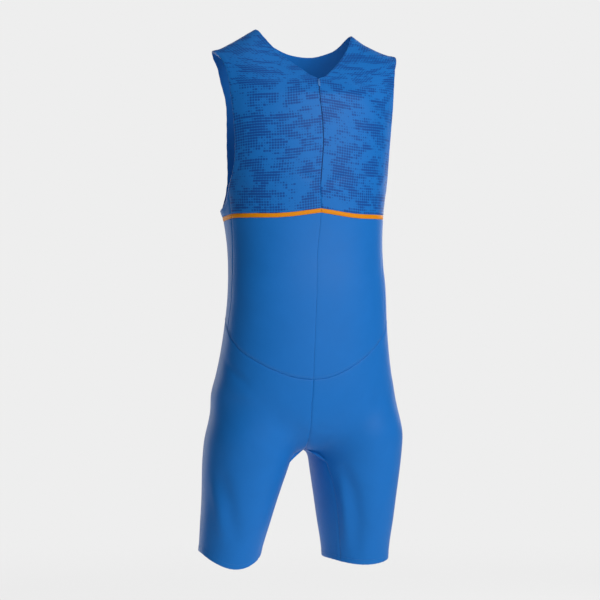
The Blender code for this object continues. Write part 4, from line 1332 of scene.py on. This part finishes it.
    @staticmethod
    def drop_inner_rim(piece: bpy.types.Object) -> None:
        """Takes out the wall left inside where a strip goes on into the main part."""
        shape = bmesh.new()
        shape.from_mesh(piece.data)
        inside = [face for face in shape.faces
                  if sum(len(edge.link_faces) > 2 for edge in face.edges) >= 2]
        bmesh.ops.delete(shape, geom=inside, context="FACES_ONLY")
        bmesh.ops.recalc_face_normals(shape, faces=shape.faces)
        shape.to_mesh(piece.data)
        shape.free()

    def leg(self, side: Side) -> None:
        """Makes one leg, from the waist seam to the hem, closed along its inseam."""
        cut, gap = self.pattern, self.half_gap
        waist = cut.waist_line(cut.half_round, side)
        front, back = cut.rise_line(True), cut.rise_line(False)
        down = cut.inseam_line(side, front[-1])
        start, end = join(front, down), join(back, down)
        first, last, across = (cut.round_leg(line, side) for line in (start, end, waist))
        last = np.where(last < self.leg_back_from, last + 360, last)
        across = np.where(across < self.leg_front_from, across + 360, across)
        across[0], across[-1] = first[0], last[0]
        foot = np.linspace(first[-1], last[-1], len(waist))
        angle = from_edges(across, foot, first, last, 1)
        hem = cut.hem_height(side, foot)
        height = from_edges(waist[:, 2], hem, start[:, 2], end[:, 2], self.height_fade)
        grid = cut.by_leg_angle(side, angle, height)
        grid[0], grid[:, 0], grid[:, -1] = waist, start, end
        seams = [waist, front, back, down]
        self.make(f"leg_cloth_{side.word}", grid, seams, [gap, 0, gap, gap], turned=[grid[-1]])

    def sew(self) -> None:
        """Makes every cut piece."""
        cut = self.pattern
        for side in Side:
            self.chest(side)
            self.band(f"band_cloth_{side.word}", [(cut.front_angles, side)])
            self.midriff(side)
            self.leg(side)
        self.band("band_back_cloth", [(cut.back_angles, Side.RIGHT), (cut.back_angles[::-1], Side.LEFT)])
        self.back_upper()
        self.back_lower()


# ---------------------------------------------------------------- sewing


@dataclass
class Stitching:
    """Rows of thread along the waist seam and the hems, and the strips behind all seams."""

    pattern: Pattern
    cloth: Cloth
    finishes: Finishes
    length: float = 2.3
    gap: float = 0.9
    thread: float = 0.24
    lift: float = 0.12
    waist_rows: tuple[float, ...] = (2.0, 4.2)
    rings: tuple[tuple[float, ...], ...] = (  # a stitch's rings: place along, size and lift
        (-0.5, 0.35, -0.5), (-0.36, 1.0, 0.1), (0.36, 1.0, 0.1), (0.5, 0.35, -0.5),
    )
    ring_sides: int = 6
    strip_width: float = 6.0
    strip_step: float = 4.0
    strip_depths: tuple[float, float] = (-0.1, -0.5)
    strip_end: float = 4.0
    strip_stray: float = 1.5
    foot_points: int = 8
    shoulder_points: int = 12
    upright_points: int = 40
    hem_points: int = 181

    def strips(self, lines: Sequence[Array]) -> None:
        """Makes the flat strips of cloth sewn in behind seams, as one piece."""
        form, shells = self.cloth.form, Shells()
        across = np.array([-0.5, 0, 0.5]) * self.strip_width
        for line in lines:
            middle = form.lay(evenly(line, max(2, int(length_of(line) / self.strip_step))))
            facing = form.normal(middle)
            beside = np.cross(facing, unit(np.gradient(middle, axis=0)))
            grid = middle[:, None] + beside[:, None] * across[None, :, None]
            laid = form.lay(grid)
            strayed = np.linalg.norm(laid - grid, axis=2, keepdims=True) > self.strip_stray
            grid = np.where(strayed, grid, laid)
            grid = grid + facing[:, None] * form.flare(grid)[..., None]
            relief = self.cloth.drape.relief(grid)[..., None]
            sides = [grid + facing[:, None] * (relief + depth) for depth in self.strip_depths]
            shells.add([*sides, Cloth.lengths(grid) * MM])
        dress(shells.piece("seam_strips"), self.finishes.plain)

    def seam_lines(self) -> list[Array]:
        """Every seam of the garment."""
        cut, end = self.pattern, self.strip_end
        rises = [cut.rise_line(True), cut.rise_line(False)]
        foot = np.linspace(cut.zip_foot, cut.band_top.read("height", 0), self.foot_points)
        points, lines = self.shoulder_points, [cut.at_angle(0, foot)]
        for side in Side:
            lines += [cut.band_line(cut.half_round, side, drop) for drop in (0.0, cut.band_height)]
            lines.append(cut.waist_line(cut.half_round, side))
            lines.append(evenly(cut.side_seam(side), cut.side_rows, 0, end))
            lines.append(evenly(cut.shoulder_seam(side, points), points, end, end))
            lines.append(cut.inseam_line(side, rises[0][-1]))
            for angle in (0.0, cut.side_angle):
                ends = (cut.waist_seam.read("height", angle), cut.band_top.read("height", angle))
                heights = np.linspace(*ends, self.upright_points)
                lines.append(cut.at_angle(side.value * angle, heights))
        return lines + rises

    def row(self, line: Array, off: float) -> tuple[Array, Array]:
        """Stitches along a polyline on the form, as small capsules of thread.

        Args:
            line: The polyline.
            off: How far beside it the thread lies; over 0 is above.

        Returns:
            Points and four-cornered faces.
        """
        count = int(length_of(line) / (self.length + self.gap))
        fine = evenly(line, count * 4)
        facing, along = self.cloth.form.normal(fine), unit(np.gradient(fine, axis=0))
        beside = np.cross(facing, along)
        beside *= np.sign(beside[:, 2:3] + 1e-9)
        proud = self.cloth.thickness + self.cloth.drape.relief(fine) + self.lift
        path = fine + beside * off + facing * proud[:, None]
        middle = np.arange(count) * 4 + 2
        at, way, up = path[middle], along[middle], facing[middle]
        side, turns = np.cross(up, way), np.arange(self.ring_sides) * math.tau / self.ring_sides
        dots = []
        for place, size, rise in self.rings:
            centre = at + way * (place * self.length) + up * (rise * self.thread)
            ring = [centre + (side * math.cos(t) + up * math.sin(t)) * (size * self.thread)
                    for t in turns]
            dots.append(np.stack(ring, axis=1))
        shape = (count, len(self.rings), self.ring_sides)
        index = np.arange(math.prod(shape)).reshape(shape)
        around = np.roll(index, -1, axis=2)
        sides = np.stack([index[:, :-1], around[:, :-1], around[:, 1:], index[:, 1:]], axis=-1)
        return np.stack(dots, axis=1).reshape(-1, 3), sides.reshape(-1, 4)

    def sew_rows(self, name: str, rows: Sequence[tuple[Array, float]]) -> None:
        """Makes one piece of several rows of thread."""
        dots, faces, count = [], [], 0
        for line, off in rows:
            more, sides = self.row(line, off)
            dots.append(more)
            faces += (sides + count).tolist()
            count += len(more)
        dress(add_mesh(name, np.concatenate(dots), faces), self.finishes.thread)

    def sew(self) -> None:
        """Backs all seams, and sews the waist seam's cover stitch and the hems."""
        cut = self.pattern
        self.strips(self.seam_lines())
        waists = {side: cut.waist_line(cut.half_round, side) for side in Side}
        rows = [(waists[side], off) for side in Side for off in self.waist_rows]
        self.sew_rows("waist_cover_stitch", rows)
        angles = np.linspace(0, 360, self.hem_points)
        turns = np.where(angles > 180, angles - 360, angles)
        for side in Side:
            heights = cut.hem_height(side, turns) + self.cloth.turned_depth
            line = cut.by_leg_angle(side, turns, heights)
            self.sew_rows(f"hem_stitch_{side.word}", [(line, 0.0)])


# ---------------------------------------------------------------- zip


@dataclass
class Zip:
    """The zip's closed coil; its tape, slider and pull are solids with a new finish."""

    pattern: Pattern
    finishes: Finishes
    pitch: float = 1.3
    tooth: tuple[float, float, float] = (0.675, 0.42, 0.42)
    slant: float = 0.22
    sunk: float = 0.15
    slider_room: float = 9.0
    points: int = 120
    facets: tuple[int, int] = (10, 6)  # of a tooth, round it and from end to end

    def coil(self) -> None:
        """Makes the interlocked coil that shows in the slot between the fronts."""
        cut = self.pattern
        heights = np.linspace(cut.zip_top - self.slider_room, cut.zip_foot, self.points)
        line = cut.at_angle(0, heights)
        places = evenly(line, int(length_of(line) / self.pitch))
        out, down = cut.form.normal(places), unit(np.gradient(places, axis=0))
        lean = self.slant * np.where(np.arange(len(places)) % 2, 1, -1)[:, None]
        way = unit(down + lean * np.cross(out, down))
        across = unit(np.cross(out, way))
        axes = np.stack([across, way, np.cross(across, way)], axis=1)
        ball = bmesh.new()
        round_it, along = self.facets
        bmesh.ops.create_uvsphere(ball, u_segments=round_it, v_segments=along, radius=1)
        corners = np.array([tuple(vert.co) for vert in ball.verts]) * np.array(self.tooth)
        # Blender's order of a ball's faces changes from run to run, so they are sorted
        faces = sorted([vert.index for vert in face.verts] for face in ball.faces)
        ball.free()
        dots = corners @ axes + (places - out * self.sunk)[:, None]
        starts = range(0, len(places) * len(corners), len(corners))
        faces = [[start + corner for corner in face] for start in starts for face in faces]
        dress(add_mesh("zip_coil", dots.reshape(-1, 3), faces), self.finishes.coil)

    def fit(self) -> None:
        """Makes the coil and finishes the solids."""
        self.coil()
        tape, zinc = self.finishes.tape, self.finishes.zinc
        for node, look in (("zip_tape", tape), ("zip_slider", zinc), ("zip_pull", zinc)):
            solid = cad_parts[node]
            solid.data.materials.clear()
            solid.data.materials.append(look)
            LOG.info("finished %s", node)


# ---------------------------------------------------------------- studio


@dataclass(frozen=True)
class SoftBox:
    """One lamp round the object: angles from the camera, over 0 to the right, metres and watts."""

    name: str
    azimuth: float
    elevation: float
    distance: float
    width: float
    power: float
    height: float | None = None


@dataclass
class Studio:
    """The plain pale floor, the soft light and the camera."""

    azimuth: float = -18.0
    distance: float = 3.5
    height: float = -0.468
    off_axis: float = -0.0064
    lens: float = 120.3
    sensor: float = 36
    sight: float = 60
    floor_height: float = -1.42
    floor_size: float = 6
    floor_corners: int = 96
    floor_fade: tuple[float, float] = (1.2, 4.5)
    floor_glow: float = 0.82
    pale: str = "#EEEEEE"
    matt: str = "#909090"
    ambient: float = 0.15
    inside_place: tuple[float, float, float] = (0, -0.04, -0.17)
    inside: SoftBox = SoftBox("inside", 0, 0, 0, 0.16, 0.06, 0.26)
    boxes: tuple[SoftBox, ...] = (
        SoftBox("key", 44, 20, 3.2, 1.8, 80),
        SoftBox("fill", 10, 12, 3.2, 1.4, 9),
        SoftBox("rim", -140, 4, 3.0, 0.9, 22, 2.2),
        SoftBox("back", 150, 16, 3.2, 1.2, 28, 2.0),
        SoftBox("top", 10, 78, 3.0, 1.5, 10),
    )

    def direction(self, azimuth: float, elevation: float) -> Vector:
        """The way from the object to a place seen from the camera's own azimuth."""
        a, e = math.radians(self.azimuth + azimuth), math.radians(elevation)
        return Vector((math.sin(a) * math.cos(e), -math.cos(a) * math.cos(e), math.sin(e)))

    def camera(self) -> None:
        """Makes the camera at the photograph's angle."""
        back = self.direction(0, 0)
        right = Vector((-back.y, back.x, 0))
        data = bpy.data.cameras.new("camera")
        data.lens = self.lens
        data.sensor_width = self.sensor
        data.clip_end = self.sight
        thing = add_object("camera", data)
        thing.location = back * self.distance + right * self.off_axis + Vector((0, 0, self.height))
        thing.rotation_euler = (-back).to_track_quat("-Z", "Y").to_euler()
        bpy.context.scene.camera = thing

    @staticmethod
    def lamp(box: SoftBox, place: Vector, way: Vector, up: str = "Y") -> bpy.types.Object:
        """Makes one lamp.

        Args:
            box: Its size and power.
            place: Where it stands.
            way: Which way it shines.
            up: Its own axis that points up.

        Returns:
            The lamp.
        """
        data = bpy.data.lights.new(box.name, "AREA")
        data.energy, data.size = box.power, box.width
        if box.height:
            data.shape, data.size_y = "RECTANGLE", box.height
        thing = add_object(box.name, data)
        thing.location, thing.rotation_euler = place, way.to_track_quat("-Z", up).to_euler()
        return thing

    def lamps(self) -> None:
        """Makes the lamps round the object, and a faint one in the hollow chest."""
        for box in self.boxes:
            way = self.direction(box.azimuth, box.elevation)
            self.lamp(box, way * box.distance + Vector((0, 0, self.height)), -way)
        inside = self.lamp(self.inside, Vector(self.inside_place), Vector((0, 1, 0)), "Z")
        inside.visible_camera = False

    def surroundings(self) -> None:
        """Makes the pale air round the object, dimmer as a light than it looks."""
        world = bpy.data.worlds.new("studio")
        bpy.context.scene.world = world
        world.use_nodes = True
        world.node_tree.nodes.clear()
        graph = Graph(world.node_tree)
        seen = graph.add("LightPath", output="Is Camera Ray")
        strength = graph.spread(seen, 0, 1, self.ambient, 1.0)
        air = graph.add("Background", {"Color": srgb(self.pale), "Strength": strength})
        graph.add("OutputWorld", {"Surface": air})

    def floor(self) -> None:
        """Makes a floor well below the hems, that fades into the pale air."""
        bpy.ops.mesh.primitive_circle_add(
            vertices=self.floor_corners, radius=self.floor_size, fill_type="NGON",
            location=(0, 0, self.floor_height),
        )
        floor = bpy.context.object
        floor.name = "floor"
        material = bpy.data.materials.new("matt_painted_floor")
        material.use_nodes = True
        material.node_tree.nodes.clear()
        graph = Graph(material.node_tree)
        off = graph.vector("LENGTH", graph.add("TexCoord", output="Object"), output="Value")
        fade = graph.spread(off, *self.floor_fade, 0, 1, interpolation_type="SMOOTHSTEP")
        paint = graph.add("BsdfDiffuse", {"Color": srgb(self.matt)})
        glow = graph.add("Emission", {"Color": srgb(self.pale), "Strength": self.floor_glow})
        both = graph.add("AddShader", {0: paint, 1: glow})
        mixed = graph.add("MixShader", {0: fade, 1: both, 2: graph.add("BsdfTransparent")})
        graph.add("OutputMaterial", {"Surface": mixed})
        floor.data.materials.append(material)
        floor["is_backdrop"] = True

    def set_up(self) -> None:
        """Makes the whole studio."""
        bpy.context.scene.view_settings.view_transform = "Standard"
        self.camera()
        self.surroundings()
        self.floor()
        self.lamps()


def main() -> dict[str, list[float]]:
    """Builds the garment piece by piece.

    Returns:
        The object's box as the solids give it.
    """
    logging.basicConfig(level=logging.INFO, format="%(name)s: %(message)s")
    low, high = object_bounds()
    box = {"cad": [list(low), list(high)]}
    form = BodyForm()
    pattern = Pattern(form)
    cloth = Cloth(form, Drape(form))
    finishes = Finishes()
    Tailor(pattern, cloth, finishes).sew()
    Stitching(pattern, cloth, finishes).sew()
    Zip(pattern, finishes).fit()
    Studio().set_up()
    return box


if __name__ == "__main__":
    sizes = main()
    low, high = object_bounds()
    sizes["visual"] = [list(low), list(high)]
